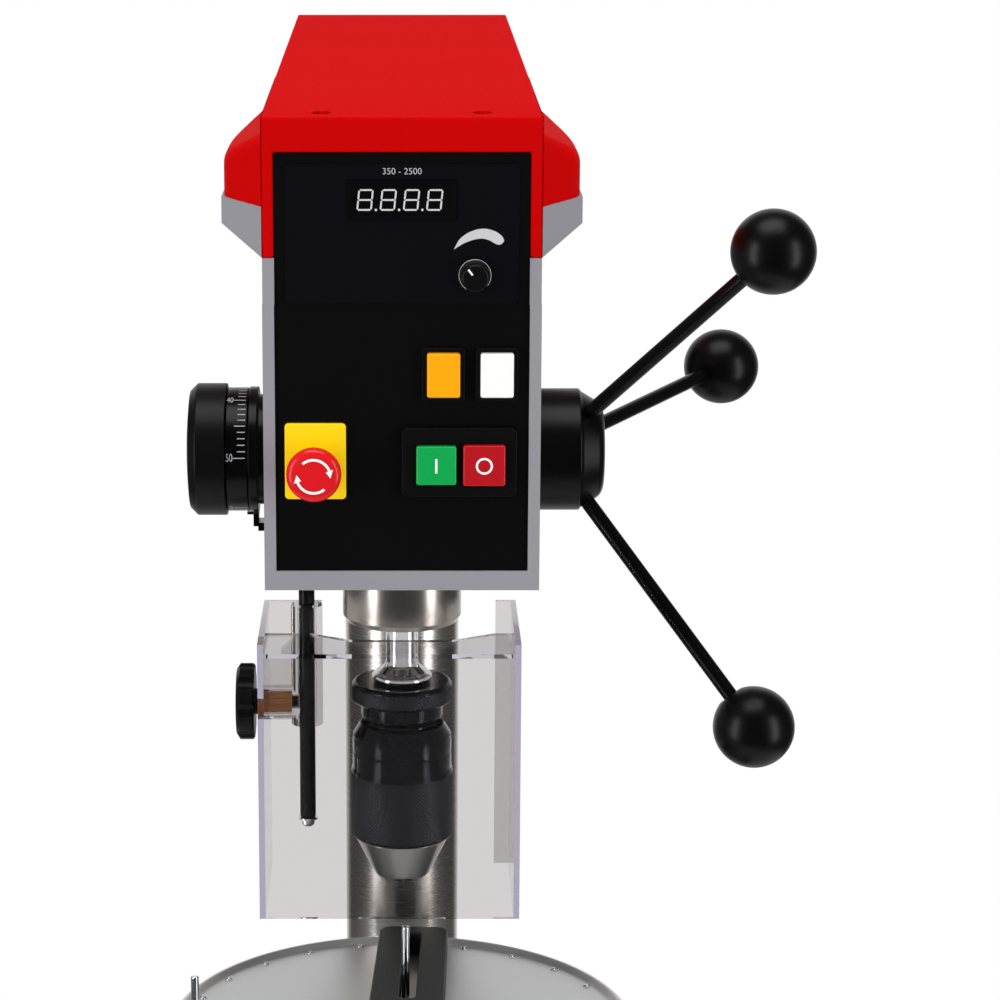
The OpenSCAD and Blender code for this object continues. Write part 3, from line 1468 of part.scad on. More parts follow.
module table() {
    color("#b9b9bb") difference() {
        translate([0, spindle_y, 0]) {
            translate([0, 0, table_bottom]) cylinder(r = table_r, h = table_t);
            translate([0, 0, table_z - cut]) tube(table_r, table_r - rim_w, rim_h + cut);
            translate([0, 0, table_bottom - stem_l - 6]) cylinder(r = stem_r, h = stem_l + 6 + cut);
        }
        at_stop_pins() translate([0, 0, -pin_sink]) cylinder(d = pin_d, h = pin_sink + cut);
    }
}

module rim_rivets() {
    color("#d9dadc") for (i = [0:rivet_count - 1])
        translate([0, spindle_y, table_z]) rotate(rivet_turn + i * rivet_step) translate([rivet_r, 0, 0])
            cylinder(d1 = rivet_d, d2 = rivet_d - 1.6, h = 1.2);
}

module stop_pins() {
    color("#d5d7da") at_stop_pins() {
        translate([0, 0, -pin_sink]) cylinder(d = pin_d, h = pin_sink + pin_h - 0.6);
        translate([0, 0, pin_h - 0.6]) cylinder(d1 = pin_d, d2 = pin_d - 1.2, h = 0.6);
    }
}

base();
column_flange();
flange_bolts();
column();
rack_collar();
set_screws();
head_casting();
belt_pan();
belt_cover();
cover_screws();
motor();
cable_gland();
belt();
spindle_pulley();
motor_shaft();
motor_pulley();
control_panel();
label_plate();
display_module();
estop_base();
switch_frame();
button_bezels();
spring_case();
return_spring();
depth_pointer();
quill();
quill_bearings();
spindle();
chuck_body();
chuck_sleeve();
chuck_jaw_1();
chuck_jaw_2();
chuck_jaw_3();
feed_shaft();
feed_hub();
lever_rods();
ball_knobs();
depth_cap();
depth_scale();
start_button();
stop_button();
light_button();
aux_button();
estop_stem();
estop_head();
speed_knob();
guard_rod();
guard_shield();
guard_insert();
guard_knob();
lift_rack();
table_arm();
lift_crank();
crank_grip();
arm_lock();
table_bracket();
table();
rim_rivets();
stop_pins();
stop_bar();
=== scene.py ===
import json
import logging
import math
from dataclasses import dataclass
from enum import Enum
from typing import Any, Callable, Optional, Sequence

import bmesh
import bpy
from mathutils import Matrix, Vector

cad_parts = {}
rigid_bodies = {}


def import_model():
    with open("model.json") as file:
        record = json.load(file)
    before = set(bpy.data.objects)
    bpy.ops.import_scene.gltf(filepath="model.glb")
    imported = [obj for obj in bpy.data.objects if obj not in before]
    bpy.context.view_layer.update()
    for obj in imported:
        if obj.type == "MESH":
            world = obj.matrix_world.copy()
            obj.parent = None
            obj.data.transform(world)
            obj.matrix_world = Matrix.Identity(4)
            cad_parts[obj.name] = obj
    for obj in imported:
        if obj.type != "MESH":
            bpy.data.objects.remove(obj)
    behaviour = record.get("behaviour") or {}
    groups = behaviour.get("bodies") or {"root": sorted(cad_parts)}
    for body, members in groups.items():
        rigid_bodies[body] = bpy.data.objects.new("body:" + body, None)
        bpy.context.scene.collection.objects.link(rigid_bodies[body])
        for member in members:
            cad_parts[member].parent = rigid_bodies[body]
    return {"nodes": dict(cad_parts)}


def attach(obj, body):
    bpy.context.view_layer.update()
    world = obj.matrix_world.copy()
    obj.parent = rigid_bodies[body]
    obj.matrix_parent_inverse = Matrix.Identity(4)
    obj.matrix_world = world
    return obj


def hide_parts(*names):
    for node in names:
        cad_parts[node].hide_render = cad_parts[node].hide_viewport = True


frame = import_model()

logging.basicConfig(level=logging.INFO, format="%(levelname)s %(message)s")
LOG = logging.getLogger("drill_press")

Point2 = tuple[float, float]
Point3 = tuple[float, float, float]
Placing = Callable[[float, float], Point3]
Inputs = dict[str | int, Any]
Socket = bpy.types.NodeSocket
Object = bpy.types.Object

MM = 0.001
WELD_MM = 1e-4  # points of a built mesh closer than this become one
CAD_WELD_M = 2e-6  # the same for a copied CAD mesh
FLAT_DEG = 0.5  # CAD faces that meet flatter than this become one
SHARP_DEG = 28  # CAD edges sharper than this are broken
SMOOTH_DEG = 35  # edges flatter than this are shaded smooth
FILLET_SHARE = 0.45  # most of a side that one fillet takes
PRINT_GAP = 0.06  # height of a print over its surface
FEED_AXIS: Point2 = (-129.94, 712.0)
SPINDLE_Y = -168.0


class Axis(Enum):
    """Directions along which turned pieces stand, as the turn that takes +Z there."""

    X = (90, "Y")
    Y_FRONT = (90, "X")
    Z = (0, "Z")

    def matrix(self) -> Matrix:
        """Give the rotation that takes +Z to this direction."""
        return Matrix.Rotation(math.radians(self.value[0]), 4, self.value[1])


class Grain(Enum):
    """How the machining lines of a metal run."""

    NONE = (1.0, 1.0, 1.0)
    AROUND_Z = (0.02, 0.02, 1.0)
    FACE = (1.0, 1.0, 0.1)


def srgb(code: str) -> tuple[float, float, float, float]:
    """Turn an sRGB hex code into linear RGBA.

    Args:
        code: Six hex digits with a leading hash.

    Returns:
        Linear red, green, blue and a full alpha.
    """
    parts = [int(code[i:i + 2], 16) / 255 for i in (1, 3, 5)]
    linear = [c / 12.92 if c <= 0.04045 else ((c + 0.055) / 1.055) ** 2.4 for c in parts]
    return (linear[0], linear[1], linear[2], 1.0)


class NodeTree:
    """A node tree with one helper that adds a node with its settings and links."""

    def __init__(self, tree: bpy.types.NodeTree) -> None:
        """Take over a tree and empty it."""
        self.tree = tree
        tree.nodes.clear()

    def add(self, kind: str, inputs: Optional[Inputs] = None, **settings: Any) -> bpy.types.Node:
        """Add one node.

        Args:
            kind: Node type.
            inputs: Socket to value, or to an output socket to link from.
            settings: Node properties.

        Returns:
            The new node.
        """
        node = self.tree.nodes.new(kind)
        for key, value in settings.items():
            setattr(node, key, value)
        self.feed(node, inputs or {})
        return node

    def feed(self, node: bpy.types.Node, inputs: Inputs) -> None:
        """Set or link the inputs of a node.

        Args:
            node: Node to feed.
            inputs: Socket to value, or to an output socket to link from.
        """
        for key, value in inputs.items():
            if isinstance(value, Socket):
                self.tree.links.new(value, node.inputs[key])
            else:
                node.inputs[key].default_value = value


class Graph(NodeTree):
    """A material's node tree."""

    def __init__(self, name: str) -> None:
        """Start a material that holds only an output and a principled shader.

        Args:
            name: Name of the material.
        """
        self.material = bpy.data.materials.new(name)
        self.material.use_nodes = True
        super().__init__(self.material.node_tree)
        self.shader = self.add("ShaderNodeBsdfPrincipled")
        self.output = self.add("ShaderNodeOutputMaterial", {"Surface": self.shader.outputs["BSDF"]})

    def noise(self, size_mm: float, stretch: Point3 = (1, 1, 1), detail: float = 3.0) -> Socket:
        """Add noise whose grain has a real size.

        Args:
            size_mm: Size of one grain.
            stretch: Factors on the object coordinates, small along the grain.
            detail: Octaves of the noise.

        Returns:
            The grey value of the noise.
        """
        where = self.add("ShaderNodeTexCoord").outputs["Object"]
        scaled = self.add("ShaderNodeMapping", {"Vector": where, "Scale": stretch}).outputs[0]
        inputs = {"Vector": scaled, "Scale": 1 / (size_mm * MM), "Detail": detail}
        return self.add("ShaderNodeTexNoise", inputs).outputs[0]

    def vary(self, grain: Socket, low: float, high: float) -> None:
        """Let the roughness follow the middle of a grey value's range, between two values."""
        inputs = {"Value": grain, "From Min": 0.3, "From Max": 0.7, "To Min": low, "To Max": high}
        self.feed(self.shader, {"Roughness": self.add("ShaderNodeMapRange", inputs).outputs[0]})

    def bump(self, height: Socket, depth_mm: float, strength: float) -> None:
        """Give the shader a normal bumped by a grey height."""
        inputs = {"Height": height, "Distance": depth_mm * MM, "Strength": strength}
        self.feed(self.shader, {"Normal": self.add("ShaderNodeBump", inputs).outputs[0]})


@dataclass(frozen=True)
class Finish:
    """A finish: one real material with its process."""

    name: str
    color: str
    roughness: float

    def make(self) -> bpy.types.Material:
        """Build the material, or give back the one already built.

        Returns:
            The material.
        """
        found = bpy.data.materials.get(self.name)
        if found is not None:
            return found
        graph = Graph(self.name)
        graph.feed(graph.shader, {"Base Color": srgb(self.color), "Roughness": self.roughness})
        self.detail(graph)
        return graph.material

    def detail(self, graph: Graph) -> None:
        """Add what makes this finish more than a plain colour."""


@dataclass(frozen=True)
class Paint(Finish):
    """Sprayed or powder-coated paint with a fine orange peel, or none."""

    sheen: float = 0.4
    peel_mm: float = 1.2
    peel: float = 0.05
    depth_mm: float = 0.05
    spread: Point2 = (0.9, 1.1)

    def detail(self, graph: Graph) -> None:
        """Add the sheen of the film and the orange peel.

        Args:
            graph: The material's graph.
        """
        graph.feed(graph.shader, {"Specular IOR Level": self.sheen})
        if self.peel > 0:
            grain = graph.noise(self.peel_mm)
            graph.vary(grain, *(self.roughness * share for share in self.spread))
            graph.bump(grain, self.depth_mm, self.peel)


@dataclass(frozen=True)
class Metal(Finish):
    """Bare or plated metal with machining lines."""

    grain: Grain = Grain.NONE
    grain_mm: float = 0.3
    lines: float = 0.15
    depth_mm: float = 0.02
    spread: Point2 = (0.94, 1.07)
    octaves: float = 2.0

    def detail(self, graph: Graph) -> None:
        """Add metallic reflection and the machining lines.

        Args:
            graph: The material's graph.
        """
        lines = graph.noise(self.grain_mm, self.grain.value, self.octaves)
        graph.feed(graph.shader, {"Metallic": 1.0})
        graph.vary(lines, *(self.roughness * share for share in self.spread))
        if self.lines > 0:
            graph.bump(lines, self.depth_mm, self.lines)


@dataclass(frozen=True)
class Plastic(Finish):
    """Moulded plastic with a fine mould grain."""

    grain_mm: float = 0.4
    grain: float = 0.03
    specular: float = 0.3
    depth_mm: float = 0.03
    ior: float = 1.5

    def detail(self, graph: Graph) -> None:
        """Add the mould grain and the strength of the sheen.

        Args:
            graph: The material's graph.
        """
        graph.feed(graph.shader, {"IOR": self.ior, "Specular IOR Level": self.specular})
        if self.grain > 0:
            graph.bump(graph.noise(self.grain_mm), self.depth_mm, self.grain)


@dataclass(frozen=True)
class Clear(Finish):
    """Clear moulded polycarbonate, tinted where light runs along its walls."""

    tint: str = "#D6D2EA"
    density: float = 16.0
    ior: float = 1.2

    def detail(self, graph: Graph) -> None:
        """Make the shader transmit light, and the body take some of it away.

        Args:
            graph: The material's graph.
        """
        graph.feed(graph.shader, {"Transmission Weight": 1.0, "IOR": self.ior})
        inputs = {"Color": srgb(self.tint), "Density": self.density}
        body = graph.add("ShaderNodeVolumeAbsorption", inputs)
        graph.feed(graph.output, {"Volume": body.outputs[0]})


@dataclass(frozen=True)
class Ink(Finish):
    """Printed ink, or a display segment with a faint painted glow."""

    glow: float = 0.0

    def detail(self, graph: Graph) -> None:
        """Add the glow, which is painted light on the display segments."""
        graph.feed(graph.shader, {"Emission Color": srgb(self.color), "Emission Strength": self.glow})


# Gloss red stove enamel on the pressed cover
RED_ENAMEL = Paint("red stove enamel", "#BF0708", 0.45, sheen=0.0008, peel=0.02)
# Satin grey paint over the sand-cast head
GREY_CAST = Paint("satin grey casting paint", "#908F95", 0.45, sheen=0.3, peel_mm=2.0, peel=0.06)
# Dark hammered paint on base and arm
DARK_CAST = Paint("dark grey casting paint", "#4B4D52", 0.45, peel_mm=2.5, peel=0.2)
# Satin black paint on the motor shell
MOTOR_PAINT = Paint("satin black motor paint", "#232427", 0.42, peel_mm=1.5, peel=0.1)
# Dark grey paint on the stop bar
BAR_PAINT = Paint("dark grey bar paint", "#1D1E21", 0.5, sheen=0.25, peel_mm=1.5, peel=0.15)
# Black enamel on lever rods, dial and small fittings
BLACK_ROD = Paint("black enamelled rod", "#050506", 0.26, sheen=0.16, peel=0.0)
# Matt pale paint of the studio floor
FLOOR_PAINT = Paint("pale studio floor", "#E9E9E8", 0.6, peel=0.0)
# Centreless-ground column tube
COLUMN_STEEL = Metal("centreless ground steel", "#C6C1BB", 0.26, Grain.AROUND_Z, 0.4, 0.015)
# Fine turned and ground quill
QUILL_STEEL = Metal("fine turned steel", "#A9A39D", 0.25, Grain.AROUND_Z, 0.25, 0.02)
# Polished spindle nose, pins and rivets
BRIGHT_STEEL = Metal("polished bright steel", "#E6E7E9", 0.08, Grain.NONE, 0.5, 0.0)
# Ground nose of the chuck
NOSE_STEEL = Metal("ground chuck nose steel", "#ABA9A7", 0.15, Grain.AROUND_Z, 0.25, 0.03)
# Black oxide on turned steel, and a lighter oxide on its knurl as a painted highlight
BLACK_OXIDE = Metal("black oxide steel", "#222225", 0.14, Grain.AROUND_Z, 0.3, 0.02)
KNURL_PAINTED_HIGHLIGHT = Metal("black oxide knurl with painted highlight", "#333437", 0.3, Grain.NONE, 0.3, 0.0)
# Zinc plate on rack, crank and bolts
ZINC = Metal("zinc plated steel", "#A9ACB0", 0.3, Grain.NONE, 0.8, 0.08)
# Turned aluminium of the pulleys
PULLEY_ALLOY = Metal("turned aluminium", "#B9BBBE", 0.3, Grain.AROUND_Z, 0.3, 0.12)
# Satin turned face of the round table
TABLE_ALLOY = Metal("satin turned table metal", "#D3D3D4", 0.42, Grain.FACE, 0.6, 0.06)
# Turned brass of the clamp insert
BRASS = Metal("turned brass", "#FFB573", 0.4, Grain.NONE, 0.5, 0.0)
# Satin black panel sheet and gloss label foil
PANEL_SHEET = Plastic("satin black panel sheet", "#070708", 0.32, 0.6, 0.02, specular=0.2)
LABEL_FOIL = Plastic("gloss black label foil", "#0A090E", 0.16, 0.6, 0.0, specular=0.3)
# Moulded black controls
BLACK_MOULDED = Plastic("moulded black plastic", "#060607", 0.42, 0.4, 0.06, specular=0.2)
# Polished black thermoset of the balls and hub
BLACK_GLOSS = Plastic("black thermoset", "#030303", 0.34, 0.6, 0.0, specular=0.18)
# Smoked window over the display
DISPLAY_GLASS = Plastic("smoked display window", "#060607", 0.06, 0.6, 0.0)
# Moulded plastic of stop plate, mushroom and buttons
ESTOP_YELLOW = Plastic("moulded yellow plastic", "#FFD900", 0.4)
ESTOP_RED = Plastic("moulded stop red plastic", "#D8131B", 0.25, 0.4, 0.0)
START_GREEN = Plastic("moulded green plastic", "#08A44C", 0.25, 0.4, 0.0)
STOP_RED = Plastic("moulded push red plastic", "#B40F1A", 0.25, 0.4, 0.0)
LAMP_AMBER = Plastic("moulded amber plastic", "#F9A800", 0.22, 0.4, 0.0)
LAMP_WHITE = Plastic("moulded white plastic", "#F7F7F5", 0.22, 0.4, 0.0)
# Ribbed rubber of the belt
BELT_RUBBER = Plastic("ribbed belt rubber", "#1A1A1B", 0.7, 0.5, 0.15)
# Clear polycarbonate of the guard
POLYCARBONATE = Clear("clear moulded polycarbonate", "#D4D2D1", 0.02)
# Screen-printed inks, and the segments of the display with a faint painted glow
WHITE_INK = Ink("white printed ink", "#F2F2F0", 0.5)
GREY_INK = Ink("grey printed ink", "#C6C8CB", 0.5)
SEGMENT_PAINTED_GLOW = Ink("white display segments with painted glow", "#C9C9CB", 0.4, glow=0.1)


class Solid:
    """Mesh builder in millimetres; the result is a plain mesh object at the origin."""

    def __init__(self, name: str) -> None:
        """Start an empty mesh for an object of this name."""
        self.name = name
        self.bm = bmesh.new()

    def lathe(self, profile: Sequence[Point2], at: Point3 = (0, 0, 0), axis: Axis = Axis.Z,
              steps: int = 96, turn: Optional[Matrix] = None) -> "Solid":
        """Turn a profile about an axis.

        Args:
            profile: Points of radius and height, bottom to top; radius 0 closes an end.
            at: Origin of the profile.
            axis: Direction of the height.
            steps: Segments around.
            turn: Rotation used instead of the axis.

        Returns:
            This builder.
        """
        place = Matrix.Translation(Vector(at)) @ (turn or axis.matrix())
        rings: list[list[bmesh.types.BMVert]] = []
        for r, h in profile:
            count = 1 if r < 1e-6 else steps
            spots = [polar((0, 0), r, 2 * math.pi * i / steps) for i in range(count)]
            rings.append([self.bm.verts.new(place @ Vector((*spot, h))) for spot in spots])
        for low, high in zip(rings, rings[1:]):
            for i in range(steps):
                j = (i + 1) % steps
                corners = [low[i % len(low)], low[j % len(low)], high[j % len(high)], high[i % len(high)]]
                unique = list(dict.fromkeys(corners))
                if len(unique) > 2:
                    self.bm.faces.new(unique)
        return self

    def sheet(self, outline: Sequence[Point2], place: Placing) -> "Solid":
        """Add one face, whose corners a function takes from the flat to their place."""
        self.bm.faces.new([self.bm.verts.new(Vector(place(u, v))) for u, v in outline])
        return self

    def strip(self, left: Sequence[Point3], right: Sequence[Point3]) -> "Solid":
        """Add a ribbon of quads between two rows of points.

        Args:
            left: First row.
            right: Second row.

        Returns:
            This builder.
        """
        a, b = [[self.bm.verts.new(Vector(p)) for p in row] for row in (left, right)]
        for i in range(len(a) - 1):
            self.bm.faces.new([a[i], a[i + 1], b[i + 1], b[i]])
        return self

    def finish(self, finish: Finish, outward: bool = True) -> Object:
        """Make the object.

        Args:
            finish: Finish of the whole mesh.
            outward: Recalculate the normals of a closed mesh.

        Returns:
            The object.
        """
        bmesh.ops.remove_doubles(self.bm, verts=self.bm.verts, dist=WELD_MM)
        if outward:
            bmesh.ops.recalc_face_normals(self.bm, faces=self.bm.faces)
        bmesh.ops.scale(self.bm, vec=(MM, MM, MM), verts=self.bm.verts)
        mesh = bpy.data.meshes.new(self.name)
        self.bm.to_mesh(mesh)
        self.bm.free()
        return place_mesh(self.name, mesh, finish)


def polar(centre: Point2, radius: float, angle: float) -> Point2:
    """Give the point at a radius and an angle in radians about a centre."""
    return (centre[0] + radius * math.cos(angle), centre[1] + radius * math.sin(angle))


def rod_profile(radius: float, low: float, high: float) -> list[Point2]:
    """Give the profile of a plain closed cylinder."""
    return [(0, low), (radius, low), (radius, high), (0, high)]


def in_scene(name: str, data: Any) -> Object:
    """Put a new object in the scene, at the origin.

    Args:
        name: Name of the object.
        data: Its mesh, text, lamp or camera.

    Returns:
        The object.
    """
    obj = bpy.data.objects.new(name, data)
    bpy.context.scene.collection.objects.link(obj)
    return obj


def plain_mesh(obj: Object) -> bpy.types.Mesh:
    """Evaluate an object into a new plain mesh, and remove the object with its data.

    Args:
        obj: Text object, or mesh object with modifiers.

    Returns:
        The evaluated mesh.
    """
    graph = bpy.context.evaluated_depsgraph_get()
    mesh = bpy.data.meshes.new_from_object(obj.evaluated_get(graph))
    old = obj.data
    bpy.data.objects.remove(obj)
    if old.users == 0:
        bpy.data.batch_remove([old])
    return mesh


def place_mesh(name: str, mesh: bpy.types.Mesh, finish: Finish) -> Object:
    """Put a mesh in the scene, smooth but for its sharp edges.

    Args:
        name: Name of the object.
        mesh: Its mesh, in metres.
        finish: Its finish.

    Returns:
        The object.
    """
    mesh.shade_smooth()
    mesh.set_sharp_from_angle(angle=math.radians(SMOOTH_DEG))
    work = in_scene("work", mesh)
    normals = work.modifiers.new("normals", "WEIGHTED_NORMAL")
    normals.keep_sharp = True
    normals.weight = 100
    mesh = plain_mesh(work)
    mesh.materials.clear()
    mesh.materials.append(finish.make())
    obj = in_scene(name, mesh)
    LOG.info("built %s: %d faces", name, len(mesh.polygons))
    return obj


def fillet(profile: Sequence[Point2], radius: float | Sequence[float], steps: int = 4) -> list[Point2]:
    """Round the corners of an open profile.

    Args:
        profile: Points of radius and height.
        radius: Largest fillet, one for all the corners or one for each.
        steps: Points on each fillet.

    Returns:
        The rounded profile.
    """
    out: list[Point2] = [profile[0]]
    corners = len(profile) - 2
    radii = [radius] * corners if isinstance(radius, (int, float)) else radius
    for before, corner, after, largest in zip(profile, profile[1:], profile[2:], radii):
        c = Vector(corner)
        back, ahead = Vector(before) - c, Vector(after) - c
        cut = min(largest, back.length * FILLET_SHARE, ahead.length * FILLET_SHARE)
        start, end = c + back.normalized() * cut, c + ahead.normalized() * cut
        for i in range(steps + 1):
            t = i / steps
            spot = (1 - t) ** 2 * start + 2 * t * (1 - t) * c + t ** 2 * end
            out.append((spot.x, spot.y))
    out.append(profile[-1])
    return out


def along(at: float, points: Sequence[Point2]) -> float:
    """Read a value off a line of points.

    Args:
        at: Where to read.
        points: Points of place and value, in order of place.

    Returns:
        The value, held at the ends.
    """
    for (a, low), (b, high) in zip(points, points[1:]):
        if at <= b:
            return low + (high - low) * max(0.0, at - a) / max(b - a, 1e-9)
    return points[-1][1]


def edge_broken(node: str, finish: Finish, width_mm: float, segments: int = 3,
                ends_y: Optional[float] = None, shortest_mm: float = 0.0) -> Object:
    """Copy a CAD node's shape with its sharp edges broken.

    Args:
        node: Name of the CAD node.
        finish: Finish of the copy.
        width_mm: Width of the broken edge.
        segments: Steps across the edge.
        ends_y: Depth behind which the copy is cut off; none keeps all of it.
        shortest_mm: Shorter edges stay sharp; 0 breaks them all, narrower where they would meet.

    Returns:
        The new object, which stands for the node.
    """
    bm = bmesh.new()
    bm.from_mesh(frame["nodes"][node].data)
    bmesh.ops.remove_doubles(bm, verts=bm.verts, dist=CAD_WELD_M)
    bmesh.ops.dissolve_limit(bm, angle_limit=math.radians(FLAT_DEG), verts=bm.verts, edges=bm.edges)
    if ends_y is not None:
        bmesh.ops.bisect_plane(bm, geom=[*bm.verts, *bm.edges, *bm.faces], plane_co=(0, ends_y * MM, 0),
                               plane_no=(0, 1, 0), clear_outer=True)
    weight = bm.edges.layers.float.new("bevel_weight_edge")
    for edge in bm.edges:
        long = edge.calc_length() > shortest_mm * MM
        if long and len(edge.link_faces) == 2 and edge.calc_face_angle() > math.radians(SHARP_DEG):
            edge[weight] = 1.0
    mesh = bpy.data.meshes.new(node)
    bm.to_mesh(mesh)
    bm.free()
    work = in_scene("work", mesh)
    bevel = work.modifiers.new("edge", "BEVEL")
    bevel.width = width_mm * MM
    bevel.segments = segments
    bevel.limit_method = "WEIGHT"
    bevel.use_clamp_overlap = shortest_mm == 0
    piece = place_mesh(node + "_look", plain_mesh(work), finish)
    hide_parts(node)
    return piece


class RingArray(NodeTree):
    """Geometry Nodes group that sets copies of a tile in rows round a ring and realises them."""

    SOCKETS = {"Count": "Int", "Rows": "Int", "Radius": "Float", "Step": "Float", "Start": "Float",
               "Row Pitch": "Float", "Stagger": "Float", "Material": "Material"}

    def __init__(self) -> None:
        """Build the node group."""
        super().__init__(bpy.data.node_groups.new("ring array", "GeometryNodeTree"))
        face = self.tree.interface
        face.new_socket("Geometry", in_out="INPUT", socket_type="NodeSocketGeometry")
        for name, kind in self.SOCKETS.items():
            face.new_socket(name, in_out="INPUT", socket_type="NodeSocket" + kind)
        face.new_socket("Geometry", in_out="OUTPUT", socket_type="NodeSocketGeometry")
        source = self.add("NodeGroupInput").outputs
        index = self.add("GeometryNodeInputIndex").outputs[0]
        total = self.math("MULTIPLY", source["Count"], source["Rows"])
        row = self.math("FLOOR", self.math("DIVIDE", index, source["Count"]))
        column = self.math("SUBTRACT", index, self.math("MULTIPLY", row, source["Count"]))
        shift = self.math("MULTIPLY", row, source["Stagger"])
        turn = self.math("MULTIPLY", self.math("ADD", column, shift), source["Step"])
        angle = self.math("ADD", turn, source["Start"])
        place = self.add("ShaderNodeCombineXYZ", {
            "X": self.math("MULTIPLY", self.math("COSINE", angle), source["Radius"]),
            "Y": self.math("MULTIPLY", self.math("SINE", angle), source["Radius"]),
            "Z": self.math("MULTIPLY", row, source["Row Pitch"]),
        }).outputs[0]
        spin = self.add("ShaderNodeCombineXYZ", {"Z": angle}).outputs[0]
        points = self.add("GeometryNodePoints", {"Count": total, "Position": place}).outputs[0]
        inputs = {"Points": points, "Instance": source["Geometry"], "Rotation": spin}
        copies = self.add("GeometryNodeInstanceOnPoints", inputs).outputs[0]
        real = self.add("GeometryNodeRealizeInstances", {"Geometry": copies}).outputs[0]
        inputs = {"Geometry": real, "Material": source["Material"]}
        painted = self.add("GeometryNodeSetMaterial", inputs).outputs[0]
        self.add("NodeGroupOutput", {"Geometry": painted})

    def math(self, operation: str, a: Any, b: Any = 0.0) -> Socket:
        """Add a math node on two values or sockets, and give its result."""
        return self.add("ShaderNodeMath", {0: a, 1: b}, operation=operation).outputs[0]

    def spread(self, tile: Solid, finish: Finish, count: int, radius_mm: float, step_deg: float,
               place: Matrix, start_deg: float = 0.0, rows: int = 1, pitch_mm: float = 0.0,
               stagger: float = 0.0) -> Object:
        """Set copies of a tile round a ring.

        Args:
            tile: Tile built with +X pointing away from the axis.
            finish: Finish of the copies.
            count: Copies in a row.
            radius_mm: Radius of the ring.
            step_deg: Angle from copy to copy.
            place: Takes the ring, built about Z, to its place in metres.
            start_deg: Angle of the first copy.
            rows: Number of rows.
            pitch_mm: Height from row to row.
            stagger: Share of a step by which each row is turned.

        Returns:
            The copies as one plain mesh object.
        """
        name = tile.name
        work = tile.finish(finish, outward=False)
        work.name = name + "_tile"
        modifier = work.modifiers.new("ring", "NODES")
        modifier.node_group = self.tree
        values = {"Count": count, "Rows": rows, "Radius": radius_mm * MM, "Step": math.radians(step_deg),
                  "Start": math.radians(start_deg), "Row Pitch": pitch_mm * MM, "Stagger": stagger,
                  "Material": finish.make()}
        for item in self.tree.interface.items_tree:
            if item.in_out == "INPUT" and item.name in values:
                modifier[item.identifier] = values[item.name]
        mesh = plain_mesh(work)
        mesh.transform(place)
        return place_mesh(name, mesh, finish)


RINGS = RingArray()


def knurl_tile(name: str, width: float, height: float, depth: float) -> Solid:
    """Make one raised diamond of a knurl.

    Args:
        name: Name of the knurled piece.
        width: Size round the axis.
        height: Size along the axis.
        depth: Height of the diamond.

    Returns:
        The tile.
    """
    tile = Solid(name)
    tip = tile.bm.verts.new((depth, 0, 0))
    corners = ((width / 2, 0), (0, height / 2), (-width / 2, 0), (0, -height / 2))
    foot = [tile.bm.verts.new((0, *corner)) for corner in corners]
    for i in range(4):
        tile.bm.faces.new([tip, foot[i], foot[(i + 1) % 4]])
    return tile


def text_mesh(name: str, words: str, size_mm: float, place: Placing, finish: Finish,
              thin: float = 0.0) -> Object:
    """Print plain numbers on a surface.

    Args:
        name: Name of the object.
        words: The numbers.
        size_mm: Height of the type.
        place: Takes a point of the flat print, in millimetres, to its place in millimetres.
        finish: Ink.
        thin: Share of the height taken off each side of the strokes.

    Returns:
        The print as a mesh.
    """
    curve = bpy.data.curves.new(name, "FONT")
    curve.body = words
    curve.size = size_mm
    curve.offset = -thin * size_mm
    curve.align_x = "CENTER"
    curve.align_y = "CENTER"
    mesh = plain_mesh(in_scene("work", curve))
    for vertex in mesh.vertices:
        vertex.co = Vector(place(vertex.co.x, vertex.co.y)) * MM
    return place_mesh(name, mesh, finish)


def ride(piece: Object, body: str, slot: str, *nodes: str) -> None:
    """Fix a piece to its body, and hide the CAD nodes that it stands for.

    Args:
        piece: The piece.
        body: CAD body that it moves with.
        slot: Material slot of the record; not used.
        nodes: CAD nodes that it stands for.
    """
    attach(piece, body)
    if nodes:
        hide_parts(*nodes)


def turned(name: str, profile: Sequence[Point2], finish: Finish, *rides: str, soft: float = 0.0,
           at: Point3 = (0, 0, 0), axis: Axis = Axis.Z, steps: int = 96) -> None:
    """Turn one piece and fix it to its body.

    Args:
        name: Name of the piece.
        profile: Points of radius and height, bottom to top.
        finish: Its finish.
        rides: Its body, its slot and the CAD nodes that it stands for.
        soft: Largest fillet of the corners; 0 leaves them as they are.
        at: Origin of the profile.
        axis: Direction of the height.
        steps: Segments around.
    """
    shape = fillet(profile, soft) if soft else profile
    ride(Solid(name).lathe(shape, at, axis, steps).finish(finish), *rides)


def paint_nodes(finish: Finish, *nodes: str) -> None:
    """Give CAD nodes that stay a finish.

    Args:
        finish: The finish.
        nodes: Names of the nodes.
    """
    for node in nodes:
        for slot in frame["nodes"][node].material_slots:
            slot.material = finish.make()
        LOG.info("painted %s with %s", node, finish.name)


@dataclass
class Assembly:
    """A sub-assembly of the drill press."""

    def build(self) -> None:
        """Make the pieces that stand for CAD nodes."""

    def dress(self) -> None:
        """Paint the CAD nodes that stay and add the small details."""

    def make(self) -> None:
        """Build and dress."""
        LOG.info("assembly %s", type(self).__name__)
        self.build()
        self.dress()


@dataclass
class Stand(Assembly):
    """Base, column, flange and collar."""

    column_d: float = 66.0
    column_low: float = 28.0
    column_top: float = 800.0

    def build(self) -> None:
        """Make the castings and the column."""
        for node, width in (("base", 3.0), ("column_flange", 2.5), ("rack_collar", 1.2)):
            ride(edge_broken(node, DARK_CAST, width), "stand", "base_iron")
        tube = rod_profile(self.column_d / 2, self.column_low, self.column_top)
        turned("column_tube", tube, COLUMN_STEEL, "stand", "column_steel", "column", soft=1.5, steps=128)

    def dress(self) -> None:
        """Paint the fasteners."""
        paint_nodes(ZINC, "flange_bolts")
        paint_nodes(BLACK_OXIDE, "set_screws")


